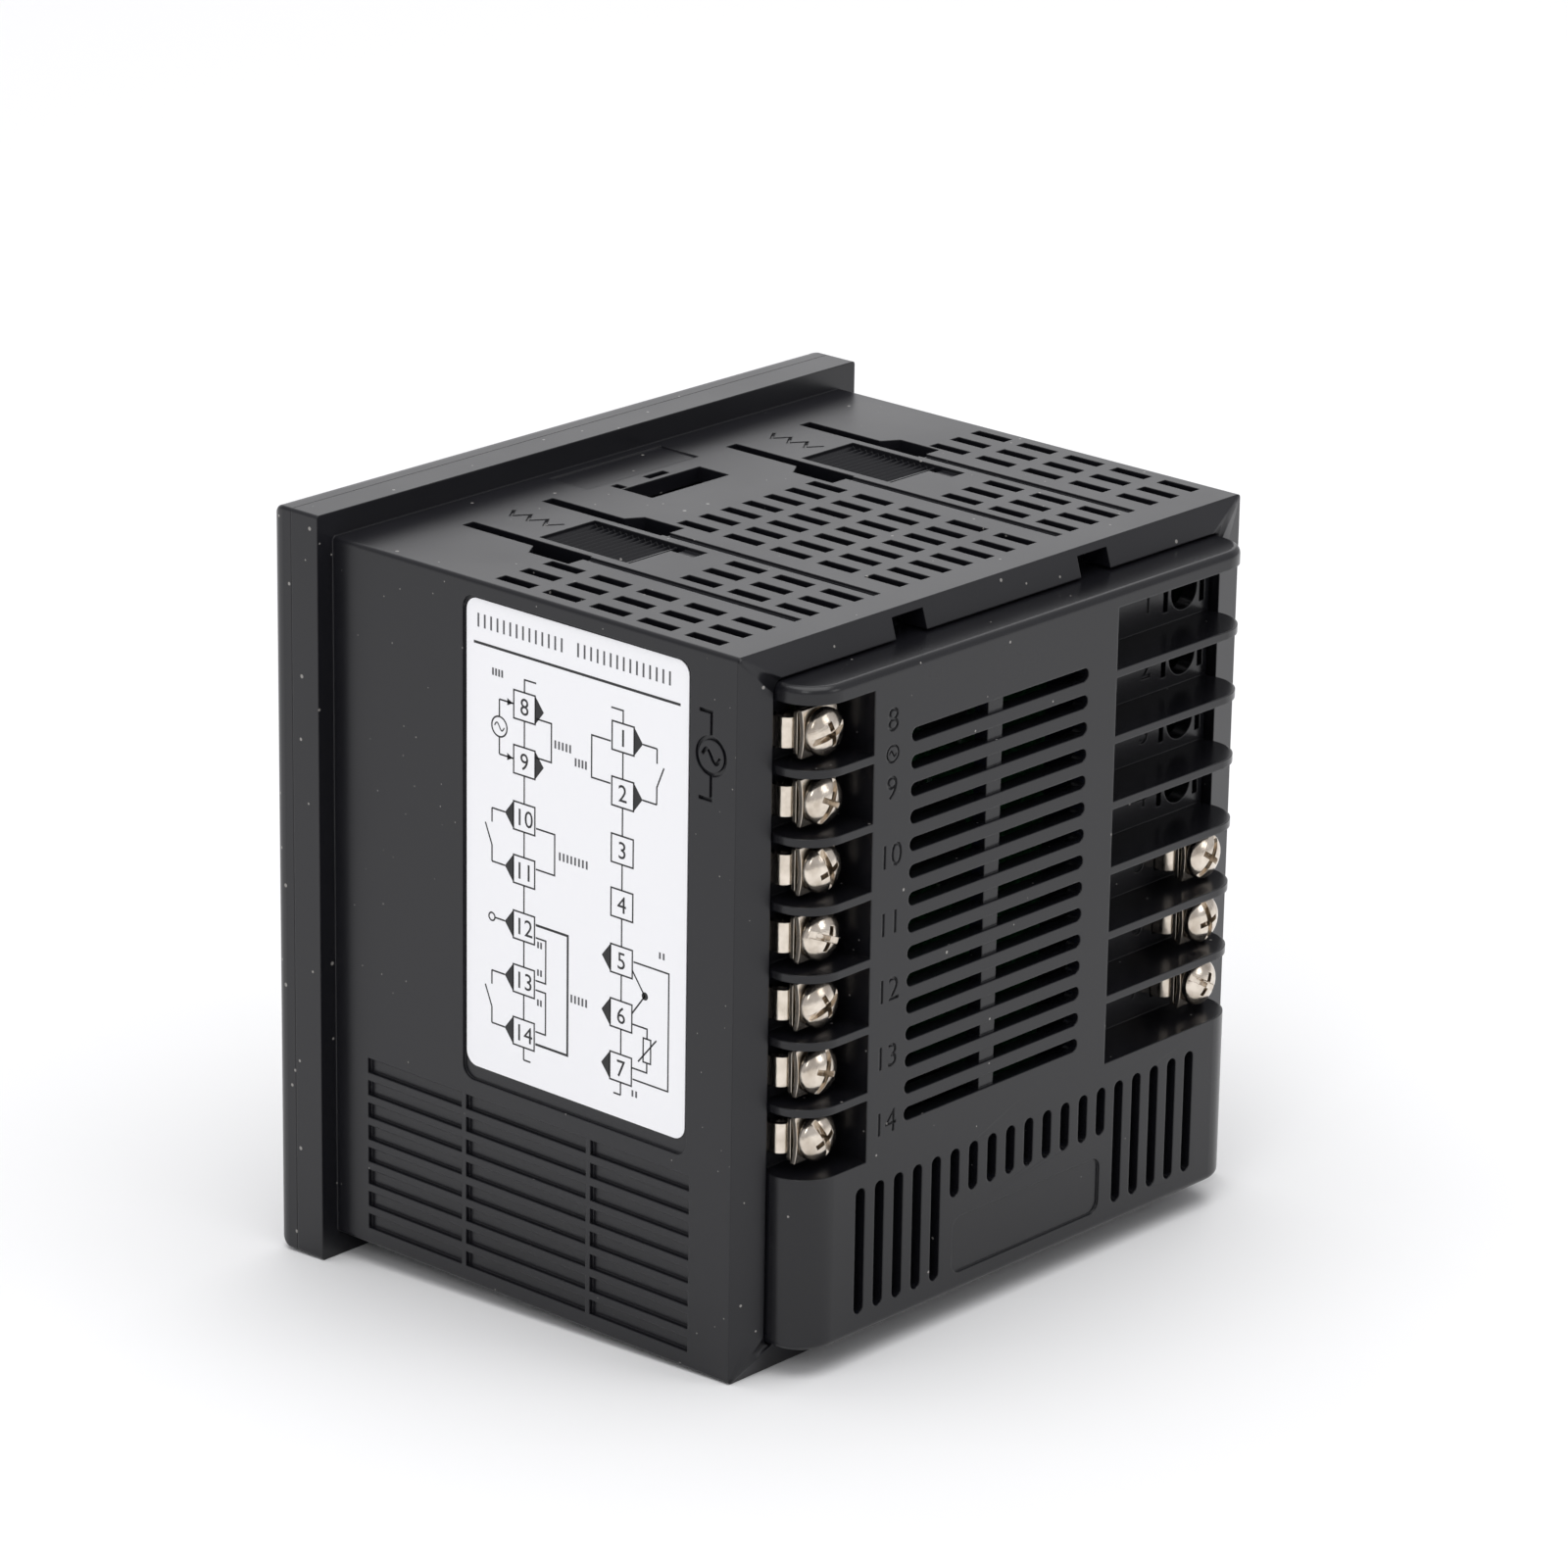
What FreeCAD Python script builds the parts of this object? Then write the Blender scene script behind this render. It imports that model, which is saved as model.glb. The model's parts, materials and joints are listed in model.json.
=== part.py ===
import FreeCAD, Part
import os
import re
from math import atan2, degrees, radians

import Sketcher

# A 96 mm square panel-mount PID temperature controller: a moulded case that stays in the
# panel with its screw-terminal base, and a draw-out unit with the display, keys and boards.
#
# Frame: millimetres, +Z up, the display faces -Y and the terminals face +Y. The origin is the
# centre of the flange's back face, the plane that seats on the panel.

doc = FreeCAD.newDocument("temperature_controller")

# ------------------------------------------------------------------ driving dimensions
SIZES = {
    # bezel: the case's flange and the unit's front frame in front of it
    "bezel_side": 96.0,
    "flange_depth": 4.4,
    "flange_corner": 0.4,
    "seam_gap": 0.05,
    # how far a cut runs past a face, and how far two fused forms lap
    "overcut": 0.5,
    "lap": 0.1,
    "frame_depth": 4.0,
    "frame_round": 2.5,
    # case
    "case_width": 90.8,
    "case_height": 89.8,
    "case_depth": 65.6,
    "case_wall": 2.0,
    "case_corner": 0.5,
    "rim_depth": 3.0,
    "crown_rise": 1.1,
    "opening_width": 81.0,
    "opening_height": 82.8,
    "opening_corner": 1.5,
    "notch_offset": 16.7,
    "notch_width": 5.5,
    "notch_rise": 2.5,
    # panel-bracket tracks in the top and bottom walls
    "track_pair_offset": 23.3,
    "track_half_gap": 6.85,
    "track_width": 1.9,
    "track_start": 7.5,
    "track_flare_start": 19.4,
    "track_flare_slope": 1.4,
    "track_end": 27.3,
    "track_flare": 2.2,
    "groove_width": 1.3,
    "groove_depth": 0.35,
    "groove_end": 61.0,
    "rack_half_width": 4.8,
    "rack_start": 17.5,
    "rack_end": 31.0,
    "rack_depth": 0.5,
    "rack_pitch": 1.0,
    "rack_tooth": 0.55,
    "rack_run_in": 0.2,
    "rack_steep": 0.3,
    "rack_slot": 1.3,
    "rack_slot_depth": 1.5,
    "rack_pocket_end": 36.0,
    "rack_pocket_width": 2.5,
    # latch window and the pad behind the flange
    "latch_half_width": 6.9,
    "latch_start": 11.0,
    "latch_end": 16.0,
    "latch_web": 0.3,
    "release_start": 9.0,
    "release_width": 1.2,
    "pad_half_width": 10.0,
    "pad_start": 1.5,
    "pad_length": 8.0,
    "pad_depth": 0.2,
    # vents in the top and bottom walls
    "vent_width": 1.7,
    "vent_length": 5.5,
    "vent_start": 25.2,
    "vent_pitch": 7.55,
    "vent_column_pitch": 3.85,
    "outer_column": 34.6,
    "outer_column_pitch": 3.95,
    # label recess and blind louvres in the side walls
    "label_recess_front": 21.8,
    "label_recess_back": 58.4,
    "label_recess_low": -18.1,
    "label_recess_high": 42.9,
    "label_recess_depth": 0.4,
    "label_front": 22.2,
    "label_back": 57.9,
    "label_low": -16.3,
    "label_high": 42.6,
    "label_corner": 1.7,
    "label_thickness": 0.12,
    "louvre_low": -22.2,
    "louvre_rise": 1.9,
    "louvre_pitch": 2.93,
    "louvre_depth": 0.6,
    "louvre_bay_1": 5.5,
    "louvre_bay_2": 22.3,
    "louvre_bay_3": 43.0,
    "louvre_bay_end": 59.0,
    "louvre_mullion": 0.7,
    # terminal base
    "base_half_width": 40.2,
    "base_half_height": 41.1,
    "base_front": 61.4,
    "base_face": 72.6,
    "base_corner": 5.0,
    "base_wall": 2.0,
    "base_lip_round": 0.9,
    "bay_floor": 65.4,
    "bay_top": 39.0,
    "bay_bottom": -19.3,
    "bay_pitch": 8.33,
    "bay_rib": 1.0,
    "left_bay_wall": 29.6,
    "right_bay_wall": -14.0,
    "snap_width": 4.6,
    "snap_rise": 1.4,
    "snap_gap": 0.1,
    "snap_edge": 0.3,
    # slots of the terminal base
    "slot_width": 1.7,
    "row_high": 32.0,
    "row_pitch": 3.37,
    "row_left": 23.1,
    "row_right": -8.7,
    "bridge_centre": 7.8,
    "bridge_width": 2.6,
    "bridge_recess": 0.4,
    "column_first": 30.5,
    "column_pitch": 3.39,
    "column_top": -22.3,
    "column_low": -38.3,
    "column_short_low": -28.5,
    "plate_half_width": 13.7,
    "plate_high": -31.3,
    "plate_low": -38.6,
    "plate_recess": 0.3,
    "plate_corner": 1.5,
    # terminals
    "terminal_offset": 35.3,
    "terminal_first": 34.83,
    "terminal_half_width": 3.85,
    "terminal_rise": 3.7,
    "terminal_sheet": 0.7,
    "terminal_top": 67.7,
    "terminal_slit": 4.3,
    "slit_gap": 0.1,
    "screw_clearance": 2.5,
    "fork_shoulder": 60.6,
    "fork_pinch": 57.4,
    "fork_throat": 56.2,
    "fork_bend": 0.3,
    "fork_tip": 54.0,
    "fork_gap": 0.95,
    "fork_flare": 1.6,
    # terminal screws and their washers
    "thread_radius": 1.45,
    "thread_end": 62.6,
    "thread_point": 0.6,
    "tapped_radius": 1.5,
    "head_radius": 2.9,
    "head_seat": 69.42,
    "head_edge": 70.3,
    "head_crown": 71.4,
    "driver_slot_width": 0.8,
    "driver_slot_depth": 1.0,
    "driver_cross_length": 3.6,
    "driver_cross_depth": 1.6,
    "washer_side": 5.8,
    "washer_sheet": 0.6,
    "washer_seat": 67.74,
    "washer_bore": 1.65,
    "washer_bow": 12.0,
    "washer_crown": 69.38,
    # draw-out unit
    "skirt_gap": 0.3,
    "skirt_wall": 1.6,
    "skirt_back": 10.0,
    "tongue_half_width": 6.4,
    "tongue_back": 18.0,
    "fascia_side": 84.0,
    "fascia_recess": 1.0,
    "fascia_corner": 2.0,
    "film_thickness": 0.3,
    "window_half_width": 34.0,
    "window_low": -4.0,
    "window_high": 35.0,
    "window_corner": 1.5,
    "window_ledge": 1.5,
    "window_glass": 1.5,
    "lamp_height": -12.5,
    "lamp_pitch": 14.0,
    "lamp_radius": 1.3,
    "lamp_gap": 0.1,
    "key_height": -29.0,
    "key_pitch": 19.6,
    "key_width": 13.0,
    "key_rise": 8.0,
    "key_corner": 2.0,
    "key_gap": 0.2,
    "key_back": 4.3,
    "key_face": 8.3,
    "key_flange": 1.0,
    "key_flange_sheet": 0.8,
    "key_stem_radius": 2.0,
    "key_stem_end": 3.1,
    # boards and what they carry
    "board_sheet": 1.6,
    "display_board_front": 2.0,
    "board_half_height": 37.5,
    "board_back": 60.0,
    "pv_width": 52.0,
    "pv_rise": 19.5,
    "pv_centre": 23.5,
    "sv_width": 42.0,
    "sv_rise": 13.5,
    "sv_centre": 4.5,
    "digits_front": 4.4,
    "switch_side": 6.0,
    "switch_front": 1.5,
    "switch_button": 2.5,
    "switch_button_radius": 1.7,
    "lamp_tip": 6.6,
    "core_width": 24.0,
    "core_length": 28.0,
    "core_rise": 32.0,
    "core_front": 10.0,
    "core_low": -36.0,
    "core_leg": 5.0,
    "coil_gap": 0.2,
    "relay_width": 15.5,
    "relay_length": 15.0,
    "relay_rise": 19.0,
    "relay_front": 38.3,
    "relay_pitch": 21.0,
    "relay_low": -8.0,
    "capacitor_radius": 5.0,
    "capacitor_length": 20.0,
    "capacitor_front": 18.0,
    "capacitor_pitch": 12.0,
    "capacitor_height": 22.0,
    "chip_side": 12.0,
    "chip_rise": 1.8,
    "chip_front": 20.0,
    "chip_pitch": 20.0,
    "spacer_front": 46.0,
    "spacer_length": 5.0,
    "spacer_rise": 4.0,
    "spacer_height": 37.0,
}

sheet = doc.addObject("Spreadsheet::Sheet", "Sizes")
for line, (alias, size) in enumerate(SIZES.items(), start=1):
    sheet.set(f"A{line}", alias)
    sheet.set(f"B{line}", str(size))
    sheet.setAlias(f"B{line}", alias)
doc.recompute()

UP = FreeCAD.Vector(0, 0, 1)
BAYS = 7
# each bank of bays: its side, the number of its top bay, and the bays that hold a terminal
BANKS = (
    (1, 8, (8, 9, 10, 11, 12, 13, 14)),
    (-1, 1, (5, 6, 7)),
)
KEYS = ("key_set", "key_shift", "key_down", "key_up")
SCREW_TURN = 47
MIDDLE_COLUMNS = (-3, -2, -1, 0, 1, 2, 3)
OUTER_COLUMNS = (0, 1, 2)
TRACK_COLUMNS = (-1, 0, 1)
VENT_ROWS = 5
TRACK_VENT_ROWS = 3
LOUVRES = 8
LEVEL_SLOTS = 15
LONG_COLUMNS = 5
SHORT_COLUMNS = 9
PARTS = []


# ------------------------------------------------------------------ helpers
def value(formula):
    """The present value in millimetres of a formula whose names are the sheet's aliases."""
    result = sheet.evalExpression(formula)
    return float(getattr(result, "Value", result))


def bound(formula):
    """The same formula as another object writes it, with the sheet's name before each alias."""
    return re.sub(r"[a-z]\w*", lambda word: f"Sizes.{word.group()}", formula)


def listed(part, label):
    part.Label = label
    PARTS.append(part)
    return part


def new_body(label):
    return listed(doc.addObject("PartDesign::Body", label), label)


def tool_body(label):
    """A body that isn't a piece of its own: it is cut from one."""
    return doc.addObject("PartDesign::Body", label)


def origin_of(body, role):
    return next(feature for feature in body.Origin.OriginFeatures if feature.Role == role)


def sketch_on(body, role, height="0"):
    """A sketch on one of the body's origin planes, moved along the plane's normal."""
    sketch = body.newObject("Sketcher::SketchObject", "Sketch")
    sketch.AttachmentSupport = [(origin_of(body, role), "")]
    sketch.MapMode = "FlatFace"
    sketch.setExpression(".AttachmentOffset.Base.z", bound(height))
    return sketch


def upright(body, depth):
    """A sketch parallel to the panel, its first axis along +X, at a depth behind the panel."""
    return sketch_on(body, "XZ_Plane", f"-({depth})")


def level(body, height="0"):
    """A sketch seen in plan, at a height above the centre."""
    return sketch_on(body, "XY_Plane", height)


def sideways(body, offset="0"):
    """A sketch seen from the side, its first axis along +Y."""
    return sketch_on(body, "YZ_Plane", offset)


def limit(sketch, constraint, formula):
    number = sketch.addConstraint(constraint)
    sketch.setExpression(f"Constraints[{number}]", bound(formula))


def pin(sketch, edge, end, across, up):
    """Holds one point of an edge at the place that two formulas give."""
    limit(sketch, Sketcher.Constraint("DistanceX", -1, 1, edge, end, value(across)), across)
    limit(sketch, Sketcher.Constraint("DistanceY", -1, 1, edge, end, value(up)), up)


def arc(sketch, across, up, radius, start, turn=90):
    """An arc pinned at its centre, with its radius bound and its ends free to slide."""
    centre = FreeCAD.Vector(value(across), value(up), 0)
    whole = Part.Circle(centre, UP, value(radius))
    edge = sketch.addGeometry(Part.ArcOfCircle(whole, radians(start), radians(start + turn)))
    pin(sketch, edge, 3, across, up)
    limit(sketch, Sketcher.Constraint("Radius", edge, value(radius)), radius)
    return edge


def loop(sketch, corners):
    """A closed outline of straight edges. A corner is two formulas, or three where it is a
    right angle rounded by the third."""
    places = [FreeCAD.Vector(value(corner[0]), value(corner[1]), 0) for corner in corners]
    arriving, leaving = [], []
    for number, corner in enumerate(corners):
        place = places[number]
        before = (places[number - 1] - place).normalize()
        after = (places[(number + 1) % len(places)] - place).normalize()
        if len(corner) == 2:
            arriving.append(place)
            leaving.append(place)
            continue
        inward = before + after
        across = f"({corner[0]}) {inward.x:+.0f} * ({corner[2]})"
        up = f"({corner[1]}) {inward.y:+.0f} * ({corner[2]})"
        clockwise = before.cross(after).z > 0
        middle = degrees(atan2(-inward.y, -inward.x))
        edge = arc(sketch, across, up, corner[2], middle - 45)
        arriving.append((edge, 2 if clockwise else 1))
        leaving.append((edge, 1 if clockwise else 2))
    lines = []
    for number in range(len(corners)):
        ends = []
        for spot in (leaving[number], arriving[(number + 1) % len(corners)]):
            ends.append(sketch.getPoint(*spot) if isinstance(spot, tuple) else spot)
        lines.append(sketch.addGeometry(Part.LineSegment(*ends)))
    for number, corner in enumerate(corners):
        before, after = lines[number - 1], lines[number]
        if len(corner) == 2:
            sketch.addConstraint(Sketcher.Constraint("Coincident", before, 2, after, 1))
            pin(sketch, after, 1, *corner)
            continue
        sketch.addConstraint(Sketcher.Constraint("Tangent", before, 2, *arriving[number]))
        sketch.addConstraint(Sketcher.Constraint("Tangent", *leaving[number], after, 1))


def rectangle(sketch, left, right, low, high, radius=None):
    corners = [(left, low), (right, low), (right, high), (left, high)]
    if radius:
        corners = [(*corner, radius) for corner in corners]
    loop(sketch, corners)


def circle(sketch, across, up, radius):
    centre = FreeCAD.Vector(value(across), value(up), 0)
    edge = sketch.addGeometry(Part.Circle(centre, UP, value(radius)))
    pin(sketch, edge, 3, across, up)
    limit(sketch, Sketcher.Constraint("Radius", edge, value(radius)), radius)


def slot(sketch, start, end, middle, width, turned=False):
    """A slot with round ends, from start to end along the sketch's first or second axis."""
    half = f"({width}) / 2"
    low, high = sorted((start, end), key=value)
    places = [(f"({low}) + ({half})", middle), (f"({high}) - ({half})", middle)]
    heading = 0
    if turned:
        places = [(up, across) for across, up in places]
        heading = 90
    first = arc(sketch, *places[0], half, heading + 90, 180)
    last = arc(sketch, *places[1], half, heading - 90, 180)
    for one, other in ((first, last), (last, first)):
        ends = sketch.getPoint(one, 2), sketch.getPoint(other, 1)
        side = sketch.addGeometry(Part.LineSegment(*ends))
        sketch.addConstraint(Sketcher.Constraint("Tangent", one, 2, side, 1))
        sketch.addConstraint(Sketcher.Constraint("Tangent", side, 2, other, 1))


def finished(body, feature):
    """Makes the feature the body's tip and builds it."""
    body.Tip = feature
    doc.recompute()
    return feature


def pad(body, sketch, length, backwards=False, symmetric=False):
    feature = body.newObject("PartDesign::Pad", "Pad")
    feature.Profile = sketch
    feature.setExpression("Length", bound(length))
    feature.Reversed = backwards
    feature.Midplane = symmetric
    return finished(body, feature)


def pocket(body, sketch, depth=None, backwards=False, symmetric=False):
    """Cuts to a depth, or through all where none is given, and checks that something is cut."""
    doc.recompute()
    before = body.Shape.Volume
    feature = body.newObject("PartDesign::Pocket", "Pocket")
    feature.Profile = sketch
    feature.Reversed = backwards
    feature.Midplane = symmetric
    if depth:
        feature.setExpression("Length", bound(depth))
    else:
        feature.Type = "ThroughAll"
    finished(body, feature)
    if body.Shape.Volume > before - 0.001:
        raise ValueError(f"{body.Label}: {feature.Name} cuts nothing")
    return feature


def row(axis, pitch, count, backwards=False):
    return ("row", axis, pitch, count, backwards)


def mirror(plane):
    return ("mirror", plane)


def repeat(body, originals, *steps):
    """Repeats features along rows and across mirror planes, one after the other."""
    whole = body.newObject("PartDesign::MultiTransform", "Repeat")
    whole.Originals = originals
    transformations = []
    for step in steps:
        if step[0] == "mirror":
            copy = body.newObject("PartDesign::Mirrored", "Mirror")
            copy.MirrorPlane = (origin_of(body, step[1]), [""])
        else:
            _, axis, pitch, count, backwards = step
            copy = body.newObject("PartDesign::LinearPattern", "Row")
            copy.Direction = (origin_of(body, axis), [""])
            copy.Mode = "Spacing"
            copy.Reversed = backwards
            copy.setExpression("Offset", bound(pitch))
            copy.Occurrences = count
        transformations.append(copy)
    whole.Transformations = transformations
    return finished(body, whole)


def rounded_edges(body, radius, chosen):
    """Rounds the edges of the body's tip for which chosen(edge) is true."""
    names = [
        f"Edge{number}"
        for number, edge in enumerate(body.Shape.Edges, start=1)
        if chosen(edge)
    ]
    base = body.Tip
    feature = body.newObject("PartDesign::Fillet", "Fillet")
    feature.Base = (base, names)
    feature.setExpression("Radius", bound(radius))
    return finished(body, feature)


def box(label, width, length, height, across, along, up):
    """A plain block from its size and its lowest corner."""
    block = doc.addObject("Part::Box", label)
    for name, formula in (("Length", width), ("Width", length), ("Height", height)):
        block.setExpression(name, bound(formula))
    for name, formula in (("x", across), ("y", along), ("z", up)):
        block.setExpression(f"Placement.Base.{name}", bound(formula))
    return block


def cylinder(label, radius, length, across, along, up, axis):
    """A round bar that starts at a point and runs along an axis."""
    bar = doc.addObject("Part::Cylinder", label)
    bar.setExpression("Radius", bound(radius))
    bar.setExpression("Height", bound(length))
    bar.Placement.Rotation = FreeCAD.Rotation(UP, axis)
    for name, formula in (("x", across), ("y", along), ("z", up)):
        bar.setExpression(f"Placement.Base.{name}", bound(formula))
    return bar


def cut(label, base, tool):
    result = doc.addObject("Part::Cut", label)
    result.Base = base
    result.Tool = tool
    return result


def fuse(label, pieces):
    result = doc.addObject("Part::MultiFuse", label)
    result.Shapes = pieces
    return result


def group(label, pieces):
    """Separate solids that share one node."""
    result = doc.addObject("Part::Compound", label)
    result.Links = pieces
    return result


# ------------------------------------------------------------------ case
def case_form():
    """The case before its slots: tube, flange, rim and recesses."""
    body = tool_body("case_form")
    tube = upright(body, "0")
    rectangle(
        tube,
        "-case_width / 2",
        "case_width / 2",
        "-case_height / 2",
        "case_height / 2",
        "case_corner",
    )
    pad(body, tube, "case_depth", backwards=True)

    flange = upright(body, "-flange_depth")
    rectangle(
        flange,
        "-bezel_side / 2",
        "bezel_side / 2",
        "-bezel_side / 2",
        "bezel_side / 2",
        "flange_corner",
    )
    pad(body, flange, "flange_depth", backwards=True)

    # the rear rim rises towards its opening like a shallow picture frame
    crown = body.newObject("PartDesign::AdditiveLoft", "Crown")
    foot = upright(body, "case_depth")
    rectangle(
        foot, "-case_width / 2", "case_width / 2", "-case_height / 2", "case_height / 2",
        "case_corner",
    )
    top = upright(body, "case_depth + crown_rise")
    rectangle(
        top, "-opening_width / 2", "opening_width / 2", "-opening_height / 2",
        "opening_height / 2", "opening_corner",
    )
    crown.Profile = foot
    crown.Sections = [top]
    finished(body, crown)

    cavity = upright(body, "-flange_depth")
    rectangle(
        cavity,
        "-case_width / 2 + case_wall",
        "case_width / 2 - case_wall",
        "-case_height / 2 + case_wall",
        "case_height / 2 - case_wall",
        "case_corner",
    )
    pocket(body, cavity, "flange_depth + case_depth - rim_depth")
    opening = upright(body, "0")
    rectangle(
        opening, "-opening_width / 2", "opening_width / 2", "-opening_height / 2",
        "opening_height / 2", "opening_corner",
    )
    pocket(body, opening)

    # notches in the rim, where the terminal base's hooks are let go
    notch = upright(body, "case_depth + 2 * crown_rise")
    rectangle(
        notch,
        "notch_offset - notch_width / 2",
        "notch_offset + notch_width / 2",
        "opening_height / 2 - overcut",
        "opening_height / 2 + notch_rise",
    )
    first = pocket(body, notch, "rim_depth + 3 * crown_rise", backwards=True)
    repeat(body, [first], mirror("YZ_Plane"), mirror("XY_Plane"))

    # the label's recess, the pad behind the flange, and the window over the latch tongue
    recess = sideways(body, "case_width / 2")
    rectangle(
        recess, "label_recess_front", "label_recess_back", "label_recess_low",
        "label_recess_high", "label_corner",
    )
    pocket(body, recess, "label_recess_depth")
    shallow = level(body, "case_height / 2")
    rectangle(shallow, "-pad_half_width", "pad_half_width", "pad_start", "pad_length")
    pocket(body, shallow, "pad_depth")
    window = level(body)
    rectangle(window, "-latch_half_width", "latch_half_width", "latch_start", "latch_end")
    rectangle(
        window,
        "latch_half_width - release_width",
        "latch_half_width",
        "release_start",
        "latch_start - latch_web",
    )
    rectangle(
        window,
        "-2 * release_width",
        "release_width",
        "release_start",
        "release_start + release_width",
    )
    pocket(body, window, "case_height / 2 + overcut", backwards=True)
    return body


def track_tool():
    """What is cut for the panel brackets: slots, grooves and racks, above and below."""
    body = tool_body("track_tool")
    middle = "track_pair_offset"
    slots = level(body, "case_height / 2 - case_wall - overcut")
    for side in (1, -1):
        inner = f"{middle} + {side} * (track_half_gap - track_width / 2)"
        outer = f"{middle} + {side} * (track_half_gap + track_width / 2)"
        flared = f"{outer} + {side} * track_flare"
        corners = [
            (inner, "track_start"),
            (outer, "track_start"),
            (outer, "track_flare_start"),
            (flared, "track_flare_start + track_flare_slope"),
            (flared, "track_end"),
            (inner, "track_end"),
        ]
        loop(slots, corners if side > 0 else corners[::-1])
    through = pad(body, slots, "case_wall + 2 * overcut")

    grooves = level(body, "case_height / 2 - groove_depth")
    for side in (1, -1):
        centre = f"{middle} + {side} * track_half_gap"
        rectangle(
            grooves,
            f"{centre} - groove_width / 2",
            f"{centre} + groove_width / 2",
            "track_end - overcut",
            "groove_end",
        )
    shallow = pad(body, grooves, "groove_depth + overcut")

    left, right = f"{middle} - rack_half_width", f"{middle} + rack_half_width"
    bed = level(body, "case_height / 2 - rack_depth")
    loop(
        bed,
        [
            (left, "rack_start"),
            (right, "rack_start"),
            (right, "rack_end + rack_slot"),
            (f"{left} + rack_pocket_width", "rack_end + rack_slot"),
            (f"{left} + rack_pocket_width", "rack_pocket_end"),
            (left, "rack_pocket_end"),
        ],
    )
    sunk = pad(body, bed, "rack_depth + overcut")
    deep = level(body, "case_height / 2 - rack_slot_depth")
    rectangle(deep, left, right, "rack_end", "rack_end + rack_slot")
    sunk_slot = pad(body, deep, "case_wall")

    # one valley of the rack: a saw tooth across the bed
    valley = sideways(body, left)
    floor = "case_height / 2 - rack_depth"
    start = "rack_start + rack_run_in"
    loop(
        valley,
        [
            (start, f"{floor} + rack_depth / 2"),
            (start, floor),
            (f"{start} + rack_steep", f"{floor} - rack_tooth"),
            (f"{start} + rack_pitch", floor),
            (f"{start} + rack_pitch", f"{floor} + rack_depth / 2"),
        ],
    )
    tooth = pad(body, valley, "2 * rack_half_width")
    teeth = round(value("(rack_end - rack_start) / rack_pitch")) - 1
    pairs = row("X_Axis", "2 * track_pair_offset", 2, backwards=True)
    repeat(body, [tooth], row("Y_Axis", "rack_pitch", teeth), pairs, mirror("XY_Plane"))
    repeat(body, [through, shallow, sunk, sunk_slot], pairs, mirror("XY_Plane"))
    return body


def vent_tool():
    """Bars that punch the vent slots through the top and bottom walls together."""
    body = tool_body("vent_tool")
    wide = level(body)
    centres = [f"{place} * vent_column_pitch" for place in MIDDLE_COLUMNS]
    for side in (1, -1):
        for place in OUTER_COLUMNS:
            centres.append(f"{side} * (outer_column + {place} * outer_column_pitch)")
    for centre in centres:
        vent(wide, centre, "vent_start")
    first = pad(body, wide, "bezel_side", symmetric=True)
    repeat(body, [first], row("Y_Axis", "vent_pitch", VENT_ROWS))
    narrow = level(body)
    for side in (1, -1):
        for place in TRACK_COLUMNS:
            centre = f"{side} * track_pair_offset + {place} * vent_column_pitch"
            vent(narrow, centre, f"vent_start + {VENT_ROWS - TRACK_VENT_ROWS} * vent_pitch")
    first = pad(body, narrow, "bezel_side", symmetric=True)
    repeat(body, [first], row("Y_Axis", "vent_pitch", TRACK_VENT_ROWS))
    return body


def vent(sketch, centre, start):
    rectangle(
        sketch,
        f"{centre} - vent_width / 2",
        f"{centre} + vent_width / 2",
        start,
        f"{start} + vent_length",
    )


def louvre_tool():
    """Blind louvres: three bays a row on each side wall."""
    body = tool_body("louvre_tool")
    bays = sideways(body, "case_width / 2 - louvre_depth")
    starts = ("louvre_bay_1", "louvre_bay_2", "louvre_bay_3")
    ends = ("louvre_bay_2", "louvre_bay_3", "louvre_bay_end + louvre_mullion")
    for start, end in zip(starts, ends):
        rectangle(
            bays, start, f"{end} - louvre_mullion", "louvre_low", "louvre_low + louvre_rise"
        )
    first = pad(body, bays, "louvre_depth + overcut")
    repeat(
        body,
        [first],
        row("Z_Axis", "louvre_pitch", LOUVRES, backwards=True),
        mirror("YZ_Plane"),
    )
    return body


def case_shell():
    form = case_form()
    tools = group("case_tools", [track_tool(), vent_tool(), louvre_tool()])
    return listed(cut("case_shell", form, tools), "case_shell")


def rating_label():
    body = new_body("rating_label")
    face = sideways(body, "case_width / 2 - label_recess_depth")
    rectangle(face, "label_front", "label_back", "label_low", "label_high", "label_corner")
    pad(body, face, "label_thickness")
    return body


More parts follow.
